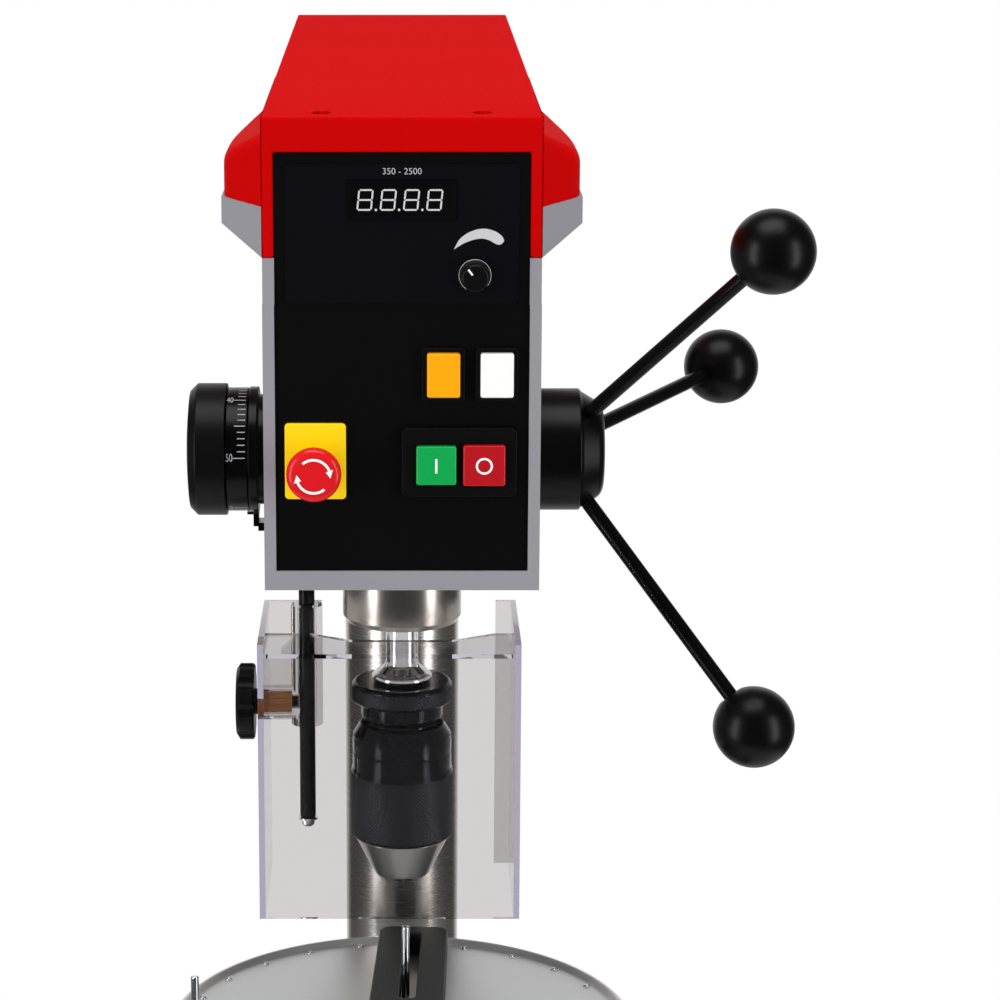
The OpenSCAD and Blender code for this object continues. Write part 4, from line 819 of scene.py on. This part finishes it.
@dataclass
class Head(Assembly):
    """Casting, belt pan, red cover, motor and belt drive."""

    cast_edge: float = 2.5
    seam_z: float = 835.0
    split_y: float = -140.0
    tail_y: float = 180.0
    wall: float = 3.0
    spine: tuple[Point3, ...] = ((-263.0, 68.0, 903.0), (100.0, 61.5, 925.0), (180.0, 53.5, 882.0))
    plan: tuple[Point2, ...] = ((-140.0, 66.0), (-97.0, 66.0), (-34.0, 99.5), (30.0, 99.5), (180.0, 65.5))
    plan_rounds: Point3 = (12, 14, 20)
    bulge_half: float = 99.5
    bulge_side_z: float = 859.0
    bulge_rise: float = 0.648
    foot_step: float = 0.4
    side_drop: float = 3.0
    neck_drop: float = 2.0
    edge_rounds: Point3 = (7, 2.5, 0.9)
    tail_round: float = 9.0
    tail_rows: tuple[float, ...] = (0.6, 0.35, 0.18, 0.06, 0.01)
    rows: int = 64

    def section(self, y: float, inset: float) -> list[Point2]:
        """Give the section across the red cover, from its left foot to its right foot.

        Args:
            y: Depth of the section.
            inset: Distance inside the outer skin.

        Returns:
            Points of X and Z.
        """
        past = max(0.0, y - (self.tail_y - self.tail_round)) / self.tail_round
        inward = inset + self.tail_round * (1 - math.sqrt(max(0.0, 1 - past ** 2)))
        half = along(y, [(p[0], p[1]) for p in self.spine]) - inward
        top = along(y, [(p[0], p[2]) for p in self.spine]) - inward
        foot = max(along(y, fillet(self.plan, self.plan_rounds, 10)) - inward, half + self.foot_step)
        slope_z = self.bulge_side_z + (self.bulge_half - inset - foot) * self.bulge_rise - inward / 2
        side_z = min(slope_z, top - self.side_drop)
        neck_z = min(side_z + (foot - half) * self.bulge_rise, top - self.neck_drop)
        corners = [(foot, self.seam_z), (foot, side_z), (half, neck_z), (half, top), (0, top)]
        right = fillet(corners, self.edge_rounds, 6)
        return [(-x, z) for x, z in right[:-1]] + [(x, z) for x, z in reversed(right)]

    def cover(self) -> Solid:
        """Make the rear of the red cover, a shell swept along its length.

        Returns:
            The shell.
        """
        shell = Solid("belt_cover_shell")
        length = self.tail_y - self.split_y
        depths = [self.split_y + length * i / self.rows for i in range(self.rows)]
        depths += [self.tail_y - self.tail_round * d for d in self.tail_rows]
        skins: list[list[list[Point3]]] = []
        for inset in (0.0, self.wall):
            skin = [[(x, y - inset if y > 0 else y, z) for x, z in self.section(y, inset)]
                    for y in sorted(depths)]
            for row, after in zip(skin, skin[1:]):
                shell.strip(row, after)
            shell.bm.faces.new([shell.bm.verts.new(Vector(p)) for p in skin[-1]])
            skins.append(skin)
        outer, inner = skins
        shell.strip(outer[0], inner[0])
        for side in (0, -1):
            shell.strip([row[side] for row in outer], [row[side] for row in inner])
        shell.strip([outer[-1][0], outer[-1][-1]], [inner[-1][0], inner[-1][-1]])
        return shell

    def build(self) -> None:
        """Make the big shells with their rounded edges."""
        ride(edge_broken("head_casting", GREY_CAST, self.cast_edge, 4), "stand", "cast_grey")
        ride(edge_broken("belt_pan", GREY_CAST, 1.5), "stand", "cast_grey")
        front = edge_broken("belt_cover", RED_ENAMEL, 1.4, 4, self.split_y, shortest_mm=3.0)
        ride(front, "stand", "cover_red")
        ride(self.cover().finish(RED_ENAMEL), "stand", "cover_red")
        ride(edge_broken("motor", MOTOR_PAINT, 1.0, 2), "stand", "motor_black")

    def dress(self) -> None:
        """Paint the drive inside and the screws."""
        paint_nodes(BLACK_OXIDE, "cover_screws")
        paint_nodes(BLACK_MOULDED, "cable_gland")
        paint_nodes(BELT_RUBBER, "belt")
        paint_nodes(PULLEY_ALLOY, "spindle_pulley", "motor_pulley")
        paint_nodes(QUILL_STEEL, "motor_shaft", "return_spring")


@dataclass
class ControlPanel(Assembly):
    """Panel with display, speed knob, buttons and emergency stop."""

    face_y: float = -262.0
    label_y: float = -262.5
    window_h: float = 0.8
    display_z: float = 863.3
    digit_pitch: float = 11.2
    digit_shift: float = 1.0
    digit_h: float = 9.6
    digit_w: float = 6.6
    segment_w: float = 0.8
    segment_gap: float = 0.55
    slant: float = 0.1
    dot: Point2 = (1.9, 0.6)
    range_z: float = 877.0
    range_h: float = 4.4
    range_thin: float = 0.012
    wedge_round: float = 9.0
    wedge_low: tuple[Point2, ...] = (
        (25.1, 839.3), (29.8, 842.3), (34.7, 844.1), (39.0, 844.7),
        (42.5, 843.7), (45.4, 841.8), (47.8, 841.4), (49.4, 843.3))
    wedge_high: tuple[Point2, ...] = (
        (25.1, 839.4), (27.6, 844.2), (31.2, 847.1), (36.1, 849.1),
        (40.4, 849.5), (45.4, 848.1), (48.6, 845.6), (49.4, 843.4))
    speed: Point2 = (35.3, 827.0)
    speed_d: float = 16.0
    speed_h: float = 13.0
    speed_lift: float = 0.3
    skirt_h: float = 3.1
    ring_inset: Point2 = (0.9, 0.1)
    pointer_deg: float = 128.0
    pointer: Point3 = (2.2, 5.6, 0.45)
    estop: Point2 = (-43.0, 730.8)
    estop_d: float = 27.0
    estop_h: float = 10.6
    estop_front: float = -281.4
    arrow_radii: Point2 = (7.6, 8.9)
    arrow_deg: float = 110.0
    arrow_head: Point3 = (6.4, 10.1, 8.3)
    arrow_tip_deg: float = 26.0
    start: Point2 = (16.8, 733.3)
    stop: Point2 = (40.3, 733.3)
    sign: Point2 = (0.55, 3.6)
    stop_radii: Point2 = (3.1, 4.2)
    button_y: float = -269.0

    def build(self) -> None:
        """Make the buttons, the knob and the mushroom."""
        for node, finish, width, body, slot in (
            ("control_panel", PANEL_SHEET, 0.6, "stand", "panel_black"),
            ("switch_frame", BLACK_MOULDED, 1.2, "stand", "control_black"),
            ("button_bezels", BLACK_MOULDED, 0.7, "stand", "control_black"),
            ("estop_base", ESTOP_YELLOW, 0.7, "stand", "estop_yellow"),
            ("start_button", START_GREEN, 1.0, "start", "start_green"),
            ("stop_button", STOP_RED, 1.0, "stop", "stop_red"),
            ("light_button", LAMP_AMBER, 1.0, "light", "lamp_yellow"),
            ("aux_button", LAMP_WHITE, 1.0, "aux", "lamp_white"),
        ):
            ride(edge_broken(node, finish, width), body, slot)
        r, h = self.estop_d / 2, self.estop_h
        mushroom = [(3.1, 0), (6.5, 0), (7.5, 1.8), (r - 1, 3), (r, 4.4), (r, 7.6), (r - 1.6, 9.6),
                    (r - 4, 10.4), (0, h)]
        turned("estop_mushroom", mushroom, ESTOP_RED, "estop_cap", "estop_red", "estop_head", soft=1.2,
               at=(self.estop[0], self.estop_front + h, self.estop[1]), axis=Axis.Y_FRONT)
        r, h = self.speed_d / 2, self.speed_h
        knob = [(2, 0), (r, 0), (r, 2.6), (r - 1, 3.4), (r - 1.2, h - 1), (r - 2, h), (0, h)]
        turned("speed_knob_grip", knob, BLACK_MOULDED, "speed", "control_black", "speed_knob", soft=0.7,
               at=(self.speed[0], self.label_y - self.speed_lift, self.speed[1]), axis=Axis.Y_FRONT)

    def dress(self) -> None:
        """Paint what stays and print the marks."""
        paint_nodes(LABEL_FOIL, "label_plate")
        paint_nodes(DISPLAY_GLASS, "display_module")
        paint_nodes(BLACK_MOULDED, "estop_stem")
        self.digits()
        self.marks()
        self.arrows()

    def flat(self, y: float) -> Placing:
        """Give a function that places X and Z of a print at a depth of the front."""
        return lambda x, z: (x, y, z)

    def ink(self, mark: Solid, finish: Finish = WHITE_INK, body: str = "stand") -> None:
        """Finish a flat print and fix it to the body that carries it."""
        ride(mark.finish(finish, outward=False), body, "lamp_white")

    def band(self, mark: Solid, centre: Point2, radii: Point2, angles: Sequence[float], y: float) -> Solid:
        """Add a flat ring, or a part of one, to a print."""
        rows = [[self.flat(y)(*polar(centre, r, a)) for a in angles] for r in radii]
        return mark.strip(rows[0], rows[1])

    def ring(self, name: str, centre: Point2, radii: Point2, y: float, body: str) -> None:
        """Print a whole ring on the piece of a body."""
        angles = [2 * math.pi * i / 48 for i in range(49)]
        self.ink(self.band(Solid(name), centre, radii, angles, y), body=body)

    def digits(self) -> None:
        """Print the four seven-segment digits, with points between them."""
        place = self.flat(self.face_y - self.window_h - PRINT_GAP)
        solid = Solid("display_digits")
        h, w, t = self.digit_h / 2, self.digit_w / 2, self.segment_w / 2
        gap, (dot_x, dot_r) = self.segment_gap, self.dot
        strokes = [((x, z + gap), (x, z + h - gap), (t, 0.0)) for z in (0, -h) for x in (-w, w)]
        strokes += [((-w + gap, z), (w - gap, z), (0.0, t)) for z in (h, 0, -h)]
        for i in range(4):
            x0 = (i - 1.5) * self.digit_pitch - self.digit_shift
            for a, b, (u, v) in strokes:
                hexagon = [(a[0] - v, a[1] - u), (a[0] + u, a[1] - v), (b[0] + u, b[1] - v),
                           (b[0] + v, b[1] + u), (b[0] - u, b[1] + v), (a[0] - u, a[1] + v)]
                solid.sheet([(x0 + x + self.slant * z, self.display_z + z) for x, z in hexagon], place)
            if i < 3:
                centre = (x0 + w + dot_x, self.display_z - h)
                solid.sheet([polar(centre, dot_r, math.pi * n / 6) for n in range(12)], place)
        # the segments get a faint painted glow; the display is not lit
        self.ink(solid, SEGMENT_PAINTED_GLOW)

    def marks(self) -> None:
        """Print the speed wedge and range, the knob's ring and pointer, and the button signs."""
        y = self.label_y - PRINT_GAP
        edges = (self.wedge_low, self.wedge_high)
        low, high = [[(x, y, z) for x, z in fillet(edge, self.wedge_round)] for edge in edges]
        self.ink(Solid("speed_wedge").strip(low, high), GREY_INK)
        numbers = text_mesh("speed_range", "350 - 2500", self.range_h,
                            lambda u, v: (u, y, self.range_z + v), GREY_INK, self.range_thin)
        ride(numbers, "stand", "lamp_white")
        r, (x, z) = self.speed_d / 2, self.speed
        inner, outer = self.ring_inset
        self.ring("speed_ring", self.speed, (r - inner, r - outer), self.label_y - self.skirt_h, "speed")
        turn, (near, far, half) = math.radians(self.pointer_deg), self.pointer
        c, s = math.cos(turn), math.sin(turn)
        corners = ((near, -half), (far, -half), (far, half), (near, half))
        tip = self.flat(self.label_y - self.speed_lift - self.speed_h - PRINT_GAP)
        spots = [(x + out * c - side * s, z + out * s + side * c) for out, side in corners]
        self.ink(Solid("speed_pointer").sheet(spots, tip), body="speed")
        y = self.button_y - PRINT_GAP
        (x, z), (w, h) = self.start, self.sign
        bar = [(x - w, z - h), (x + w, z - h), (x + w, z + h), (x - w, z + h)]
        self.ink(Solid("start_sign").sheet(bar, self.flat(y)), body="start")
        self.ring("stop_sign", self.stop, self.stop_radii, y, "stop")

    def arrows(self) -> None:
        """Print the two turning arrows on the mushroom."""
        solid = Solid("estop_arrows")
        y = self.estop_front - PRINT_GAP
        for base in (20, 200):
            sweep = [math.radians(base + self.arrow_deg * i / 16) for i in range(17)]
            self.band(solid, self.estop, self.arrow_radii, sweep, y)
            end, tip = math.radians(base), math.radians(base - self.arrow_tip_deg)
            head = [polar(self.estop, r, a) for r, a in zip(self.arrow_head, (end, end, tip))]
            solid.sheet(head, self.flat(y))
        self.ink(solid, body="estop_cap")


@dataclass
class FeedLevers(Assembly):
    """Hub, lever rods and balls on the right."""

    axis: Point2 = FEED_AXIS
    hub_x: float = 68.3
    hub_d: float = 65.0
    hub_end_x: float = 95.3
    cone_end_x: float = 107.3
    cone_end_d: float = 50.0
    foot_x: float = 78.3
    rod_start: float = 20.0
    lean: float = 35.6
    phase: float = 36.6
    reach: float = 149.0
    rod_d: float = 8.0
    ball_d: float = 43.0
    ball_neck: float = 7.0
    ball_steps: int = 40

    def turn(self, index: int) -> Matrix:
        """Give the rotation that takes +Z along one of the levers."""
        around = Matrix.Rotation(math.radians(self.phase + 120 * index), 4, "X")
        return around @ Matrix.Rotation(math.radians(self.lean), 4, "Y")

    def ball(self) -> list[Point2]:
        """Give the profile of a ball with a flat foot.

        Returns:
            Points of radius and height about the middle of the ball.
        """
        r = self.ball_d / 2
        foot = -math.sqrt(r * r - self.ball_neck * self.ball_neck)
        first = math.asin(foot / r)
        angles = [first + (math.pi / 2 - first) * i / self.ball_steps for i in range(1, self.ball_steps)]
        return [(0, foot), (self.ball_neck, foot), *(polar((0, 0), r, a) for a in angles), (0, r)]

    def build(self) -> None:
        """Make hub, rods and balls."""
        r, e = self.hub_d / 2, self.cone_end_d / 2
        long, cone = self.hub_end_x - self.hub_x, self.cone_end_x - self.hub_x
        hub = [(0, 0), (r, 0), (r, long - 1), (r - 1.5, long), (e, cone - 2), (e - 4, cone), (0, cone)]
        turned("feed_hub_turned", hub, BLACK_GLOSS, "feed", "control_black", "feed_hub", soft=2.0,
               at=(self.hub_x, *self.axis), axis=Axis.X)
        foot = (self.foot_x, *self.axis)
        span = self.reach / math.cos(math.radians(self.lean))
        rods, balls = Solid("lever_rods_turned"), Solid("ball_knobs_turned")
        for i in range(3):
            turn = self.turn(i)
            rods.lathe(rod_profile(self.rod_d / 2, self.rod_start, span), foot, steps=32, turn=turn)
            centre = Vector(foot) + turn @ Vector((0, 0, span))
            balls.lathe(self.ball(), tuple(centre), steps=72, turn=turn)
        ride(rods.finish(BLACK_ROD), "feed", "dark_steel", "lever_rods")
        ride(balls.finish(BLACK_GLOSS), "feed", "ball_black", "ball_knobs")

    def dress(self) -> None:
        """Paint the shaft."""
        paint_nodes(QUILL_STEEL, "feed_shaft")


@dataclass
class DepthDial(Assembly):
    """Spring case, scale ring and cap on the left."""

    axis: Point2 = FEED_AXIS
    scale_x: float = -81.3
    scale_w: float = 11.5
    scale_d: float = 66.0
    cap_x: float = -113.7
    cap_w: float = 20.6
    cap_d: float = 70.5
    case_x: float = -81.0
    case_w: float = 13.0
    case_d: float = 67.0
    flange_w: float = 4.8
    drum_d: float = 59.0
    degrees_per_mm: float = 5.968
    first_deg: float = 3.6
    stroke: int = 50
    line_half: float = 0.22
    line_start: float = 1.1
    line_lift: float = 0.05
    type_h: float = 6.0
    type_narrow: float = 0.62
    type_x: float = 9.4

    def on_ring(self, angle_deg: float, u: float, v: float) -> Point3:
        """Wrap one point of a print round the scale ring.

        Args:
            angle_deg: Angle of the print, 0 towards the operator and positive upwards.
            u: Offset along the axis.
            v: Offset up the ring.

        Returns:
            The point.
        """
        r = self.scale_d / 2 + PRINT_GAP
        a = math.radians(angle_deg) + v / r
        return (u, self.axis[0] - r * math.cos(a), self.axis[1] + r * math.sin(a))

    def build(self) -> None:
        """Make case, ring and cap."""
        rim, drum, cap = self.case_d / 2, self.drum_d / 2, self.cap_d / 2
        case = [(0, 0), (rim, 0), (rim, self.flange_w), (drum, self.flange_w), (drum, self.case_w),
                (0, self.case_w)]
        ring = rod_profile(self.scale_d / 2, 0, self.scale_w)
        knob = [(0, 0), (cap - 14, 0), (cap - 4, 1.0), (cap, 5), (cap, self.cap_w), (0, self.cap_w)]
        ring_x = self.scale_x - self.scale_w
        for name, profile, x, finish, *rides in (
            ("spring_case_turned", case, self.case_x, BLACK_ROD, "stand", "dark_steel", "spring_case"),
            ("scale_ring_turned", ring, ring_x, BLACK_ROD, "scale", "dark_steel", "depth_scale"),
            ("depth_cap_turned", knob, self.cap_x, BLACK_MOULDED, "feed", "control_black", "depth_cap"),
        ):
            turned(name, profile, finish, *rides, soft=0.6, at=(x, *self.axis), axis=Axis.X)

    def dress(self) -> None:
        """Print the scale."""
        paint_nodes(BLACK_OXIDE, "depth_pointer")
        about_x = Matrix.Translation(Vector((0, *self.axis)) * MM) @ Axis.X.matrix()
        step, tens = self.degrees_per_mm, self.stroke // 10
        zero = -90 - self.first_deg - self.stroke * step
        half, z0 = self.line_half, self.scale_x - self.line_start
        for name, length, count, rows, stride, start in (
            ("scale_ones", 4.1, 4, self.stroke // 5, 1, 1),
            ("scale_fives", 5.8, tens, 1, 10, 5),
            ("scale_tens", 6.4, tens + 1, 1, 10, 0),
        ):
            line = [(half, z0), (half, z0 - length), (-half, z0 - length), (-half, z0)]
            tile = Solid(name).sheet(line, lambda u, v: (self.line_lift, u, v))
            ticks = RINGS.spread(tile, GREY_INK, count, self.scale_d / 2, step * stride, about_x,
                                 start_deg=zero + start * step, rows=rows, stagger=5.0)
            ride(ticks, "scale", "lamp_white")
        x0 = self.scale_x - self.type_x
        for i in range(tens + 1):
            angle = self.first_deg + (self.stroke - 10 * i) * step
            number = text_mesh(f"scale_{i}", str(10 * i), self.type_h, lambda u, v, a=angle: self.on_ring(
                a, x0 + self.type_narrow * u, v), GREY_INK)
            ride(number, "scale", "lamp_white")


@dataclass
class QuillAndChuck(Assembly):
    """Quill, spindle nose and keyless chuck."""

    at: Point3 = (0, SPINDLE_Y, 0)
    chuck_top: float = 595.0
    ring_h: float = 11.0
    ring_r: float = 26.5
    neck_r: float = 21.5
    sleeve_low: float = 509.3
    sleeve_l: float = 63.0
    sleeve_r: float = 27.0
    groove: float = 0.7
    knurl_l: float = 37.0
    knurl_count: int = 86
    knurl_size: Point2 = (2.0, 0.45)
    knurl_start: float = 2.2
    knurl_pitch: float = 1.0
    knurl_sink: float = 0.02
    nose_top: float = 509.0
    nose_end: float = 487.0
    nose_end_r: float = 15.0
    nose_bore_r: float = 8.2
    bearing_z: float = 633.0
    spline_z: float = 797.0
    spindle_top: float = 892.0

    def build(self) -> None:
        """Make the turned pieces of the chuck."""
        low, top = self.sleeve_low, self.sleeve_low + self.sleeve_l
        r, g, neck, ring = self.sleeve_r, self.groove, self.neck_r, self.ring_r
        ring_low, ring_top = self.chuck_top - self.ring_h, self.chuck_top
        knurl_top, end = low + self.knurl_l, self.nose_end
        upper = [(9, top - 8), (neck - 1.5, top - 2), (neck - 1.5, top + 2), (neck, top + 4),
                 (neck, ring_low), (ring - 1.5, ring_low), (ring, ring_low + 1.5),
                 (ring, ring_top - 1.5), (ring - 1.5, ring_top), (8.5, ring_top)]
        nose = [(self.nose_bore_r, end + 40), (self.nose_bore_r, end), (self.nose_end_r - 1.5, end),
                (self.nose_end_r, end + 1.5), (r - 2, self.nose_top), (r - 5, self.nose_top)]
        sleeve = [(r - 5, low), (r - 1.2, low), (r, low + 1.2), (r, knurl_top), (r - g, knurl_top + 1),
                  (r - g, top - 17), (r - 2 * g, top - 16), (r - g, top - 15), (r - g, top - 9),
                  (r - 2 * g, top - 8), (r - g, top - 7), (neck + 0.6, top), (neck - 1.0, top - 3)]
        for name, profile, soft, finish, *rides in (
            ("chuck_upper", upper, 0.8, BLACK_OXIDE, "spindle", "dark_steel", "chuck_body"),
            ("chuck_nose", nose, 0.6, NOSE_STEEL, "spindle", "ground_steel"),
            ("chuck_sleeve_turned", sleeve, 0.5, BLACK_OXIDE, "sleeve", "dark_steel", "chuck_sleeve"),
        ):
            turned(name, profile, finish, *rides, soft=soft, at=self.at)

    def dress(self) -> None:
        """Knurl the sleeve and the ring, and make quill and spindle."""
        count, top = self.knurl_count, self.chuck_top
        for name, body, radius, low, rows in (
            ("sleeve_knurl", "sleeve", self.sleeve_r, self.sleeve_low + self.knurl_start, 34),
            ("ring_knurl", "spindle", self.ring_r, top - self.ring_h + self.knurl_start, 7),
        ):
            tile = knurl_tile(name, 2 * math.pi * radius / count, *self.knurl_size)
            place = Matrix.Translation(Vector(self.at) * MM) @ Matrix.Translation((0, 0, low * MM))
            # the knurl is lighter than the sleeve: a painted highlight
            piece = RINGS.spread(tile, KNURL_PAINTED_HIGHLIGHT, count, radius - self.knurl_sink, 360 / count, place,
                                 rows=rows, pitch_mm=self.knurl_pitch, stagger=0.5)
            ride(piece, body, "dark_steel")
        ride(edge_broken("quill", QUILL_STEEL, 0.8, 2), "quill", "ground_steel")
        paint_nodes(QUILL_STEEL, "quill_bearings", "chuck_jaw_1", "chuck_jaw_2", "chuck_jaw_3")
        spindle = [(0, top - 24), (8, top - 24), (8, top - 0.2), (14.5, top + 0.1), (16.2, top + 2.2),
                   (15.4, top + 4.2), (13.2, top + 5.2), (9.4, top + 8.6), (8.5, top + 10.6),
                   (8.5, self.bearing_z), (10, self.bearing_z), (10, self.spline_z), (7, self.spline_z),
                   (7, self.spindle_top), (0, self.spindle_top)]
        turned("spindle_turned", spindle, BRIGHT_STEEL, "spindle", "bright_steel", "spindle", soft=0.9,
               at=self.at)


@dataclass
class Guard(Assembly):
    """Clear chuck guard with rod, clamp knob and brass insert."""

    rod: Point2 = (-51.0, -148.0)
    rod_d: float = 8.5
    rod_low: float = 512.0
    rod_top: float = 695.0
    knob_z: float = 577.0
    insert_x: float = -74.0
    insert_l: float = 15.0
    insert_d: float = 11.3
    insert_bore_r: float = 3.1
    rib: Point2 = (0.5, 0.3)
    rib_end: float = 0.8
    rib_sink: float = 0.1
    ribs: int = 30

    def build(self) -> None:
        """Make the shield, the knob, the rod and its end screw."""
        ride(edge_broken("guard_shield", POLYCARBONATE, 0.6, 2), "guard", "clear_guard")
        ride(edge_broken("guard_knob", BLACK_MOULDED, 1.2), "guard_clamp", "control_black")
        low, at = self.rod_low, (*self.rod, 0)
        rod = rod_profile(self.rod_d / 2, low, self.rod_top)
        turned("guard_rod_turned", rod, BLACK_ROD, "guard_post", "dark_steel", "guard_rod", soft=1.2, at=at,
               steps=48)
        screw = [(0, low - 5), (2.6, low - 5), (3.5, low - 4), (3.5, low - 1.4), (5.2, low - 1.2),
                 (5.2, low - 0.1), (0, low - 0.1)]
        turned("rod_end_screw", screw, BRIGHT_STEEL, "guard_post", "bright_steel", at=at, steps=48)

    def dress(self) -> None:
        """Make the brass insert with its straight knurl."""
        (half, height), end = self.rib, self.rib_end
        r, at = self.insert_d / 2 - height, (self.insert_x, self.rod[1], self.knob_z)
        bore = self.insert_bore_r
        profile = [(bore, 0), (r, 0), (r, self.insert_l), (bore, self.insert_l)]
        turned("guard_insert_turned", profile, BRASS, "guard", "insert_brass", "guard_insert", at=at,
               axis=Axis.X, steps=48)
        root = -self.rib_sink
        rows = [[(root, -half, u), (height, 0, u), (root, half, u)] for u in (end, self.insert_l - end)]
        rib = Solid("insert_knurl").strip(rows[0], rows[1])
        place = Matrix.Translation(Vector(at) * MM) @ Axis.X.matrix()
        ride(RINGS.spread(rib, BRASS, self.ribs, r, 360 / self.ribs, place), "guard", "insert_brass")


@dataclass
class TableGroup(Assembly):
    """Round table with rim, rivets, pins and stop bar, on its arm and lift."""

    top: float = 400.0
    seat: float = 0.05
    thick: float = 14.0
    radius: float = 126.0
    rim_w: float = 7.0
    rim_h: float = 3.0
    stem_r: float = 22.0
    stem_low: float = 316.0
    rivet_r: float = 116.5
    rivet_d: float = 4.0
    rivets: int = 24
    pin_d: float = 4.2
    pin_h: float = 43.0
    pin_depth: float = 10.0
    bar_pin: Point2 = (2.05, -133.92)
    rivet_turn: float = -3.0
    pin_turn: float = 199.5

    def build(self) -> None:
        """Make table, pins, bar, arm and lift."""
        r, z = self.radius, self.top - self.seat
        low, rim = z - self.thick, z + self.rim_h
        profile = [(0, self.stem_low), (self.stem_r, self.stem_low), (self.stem_r, low), (r - 1, low),
                   (r, low + 1), (r, z + 1), (r - 2.4, rim), (r - self.rim_w + 3, rim),
                   (r - self.rim_w, z), (0, z)]
        turned("table_turned", fillet(profile, 1.6, 5), TABLE_ALLOY, "table", "table_alu", "table",
               at=(0, SPINDLE_Y, 0), steps=192)
        pins = Solid("stop_pins_turned")
        pin = fillet(rod_profile(self.pin_d / 2, -self.pin_depth, self.pin_h), 1.4, 5)
        for spot in (polar((0, SPINDLE_Y), self.rivet_r, math.radians(self.pin_turn)), self.bar_pin):
            pins.lathe(pin, (*spot, z), steps=32)
        ride(pins.finish(BRIGHT_STEEL), "table", "bright_steel", "stop_pins")
        for node, finish, width, body, slot in (
            ("stop_bar", BAR_PAINT, 1.0, "bar", "bar_grey"),
            ("table_arm", DARK_CAST, 2.0, "arm", "base_iron"),
            ("table_bracket", DARK_CAST, 2.0, "bracket", "base_iron"),
            ("crank_grip", BLACK_MOULDED, 0.8, "grip", "control_black"),
            ("arm_lock", BLACK_ROD, 0.8, "arm_clamp", "dark_steel"),
        ):
            ride(edge_broken(node, finish, width), body, slot)

    def dress(self) -> None:
        """Set the rivets and paint the lift."""
        paint_nodes(ZINC, "lift_rack", "lift_crank")
        r = self.rivet_d / 2
        head = [(r, 0), (r, 0.25), (r * 0.8, 0.8), (r * 0.45, 1.12), (0, 1.2)]
        place = Matrix.Translation(Vector((0, SPINDLE_Y, self.top)) * MM)
        heads = RINGS.spread(Solid("rim_rivet_heads").lathe(head, steps=20), BRIGHT_STEEL, self.rivets,
                             self.rivet_r, 360 / self.rivets, place, start_deg=self.rivet_turn)
        ride(heads, "table", "bright_steel", "rim_rivets")


@dataclass
class Studio:
    """Floor, lights, world and the camera of the photo."""

    eye: Point3 = (0.0, -1750.0, 1061.0)
    pitch_deg: float = 13.1
    focal_px: float = 3100.0
    frame_px: float = 1000.0
    centre_px: float = 402.0
    sensor: float = 36.0
    clip: Point2 = (0.05, 50.0)
    fill: float = 0.5
    mirror: float = 0.08
    backdrop: Point2 = (0.68, 0.88)
    floor_r: float = 760.0
    floor_y: float = -60.0
    lamps: tuple[tuple[str, Point3, Point3, Point2, float], ...] = (
        ("left box", (-1.9, -1.35, 0.75), (0, -0.1, 0.6), (0.55, 2.2), 30),
        ("right box", (1.9, -1.35, 0.75), (0, -0.1, 0.6), (0.55, 2.2), 26),
        ("top box", (0, -0.4, 2.3), (0, -0.1, 0.7), (1.4, 1.0), 18),
    )

    def floor(self) -> None:
        """Lay a pale round floor."""
        disc = Solid("studio_floor").lathe(rod_profile(self.floor_r, -2, 0), (0, self.floor_y, 0), steps=128)
        disc.finish(FLOOR_PAINT)

    def lamp(self, name: str, spot: Point3, aim: Point3, size: Point2, watts: float) -> None:
        """Hang a soft box.

        Args:
            name: Name of the lamp.
            spot: Place in metres.
            aim: Point that it faces, in metres.
            size: Width and height in metres.
            watts: Power.
        """
        data = bpy.data.lights.new(name, "AREA")
        data.shape = "RECTANGLE"
        data.size, data.size_y = size
        data.energy = watts
        obj = in_scene(name, data)
        obj.location = spot
        obj.rotation_mode = "QUATERNION"
        obj.rotation_quaternion = (Vector(aim) - Vector(spot)).to_track_quat("-Z", "Y")

    def world(self) -> None:
        """Make the background white to the eye and in what mirrors it, and dark towards the operator."""
        world = bpy.data.worlds.new("studio")
        bpy.context.scene.world = world
        world.use_nodes = True
        tree = NodeTree(world.node_tree)
        path = tree.add("ShaderNodeLightPath").outputs
        where = tree.add("ShaderNodeTexCoord").outputs["Object"]
        depth = tree.add("ShaderNodeSeparateXYZ", {0: where}).outputs["Y"]
        near, far = self.backdrop
        fade = tree.add("ShaderNodeMapRange", {
            "Value": depth, "From Min": near, "From Max": far, "To Min": self.mirror, "To Max": 1.0,
        }).outputs[0]
        white = srgb("#FFFFFF")
        result = tree.add("ShaderNodeBackground", {"Color": white, "Strength": self.fill}).outputs[0]
        for ray, strength in (("Is Glossy Ray", fade), ("Is Transmission Ray", 1.0), ("Is Camera Ray", 1.0)):
            shade = tree.add("ShaderNodeBackground", {"Color": white, "Strength": strength}).outputs[0]
            result = tree.add("ShaderNodeMixShader", {0: path[ray], 1: result, 2: shade}).outputs[0]
        tree.add("ShaderNodeOutputWorld", {"Surface": result})

    def camera(self) -> None:
        """Set the camera where the photo was taken."""
        data = bpy.data.cameras.new("photo camera")
        data.sensor_width = self.sensor
        data.lens = self.focal_px / self.frame_px * self.sensor
        data.shift_x = (self.frame_px / 2 - self.centre_px) / self.frame_px
        data.clip_start, data.clip_end = self.clip
        obj = in_scene("photo camera", data)
        obj.location = Vector(self.eye) * MM
        obj.rotation_euler = (math.radians(90 - self.pitch_deg), 0.0, 0.0)
        bpy.context.scene.camera = obj

    def make(self) -> None:
        """Set up the studio."""
        bpy.context.scene.view_settings.view_transform = "Standard"
        self.world()
        self.floor()
        for lamp in self.lamps:
            self.lamp(*lamp)
        self.camera()


def main() -> None:
    """Build the drill press in its studio."""
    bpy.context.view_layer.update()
    for part in (Stand, Head, ControlPanel, FeedLevers, DepthDial, QuillAndChuck, Guard, TableGroup, Studio):
        part().make()


if __name__ == "__main__":
    main()
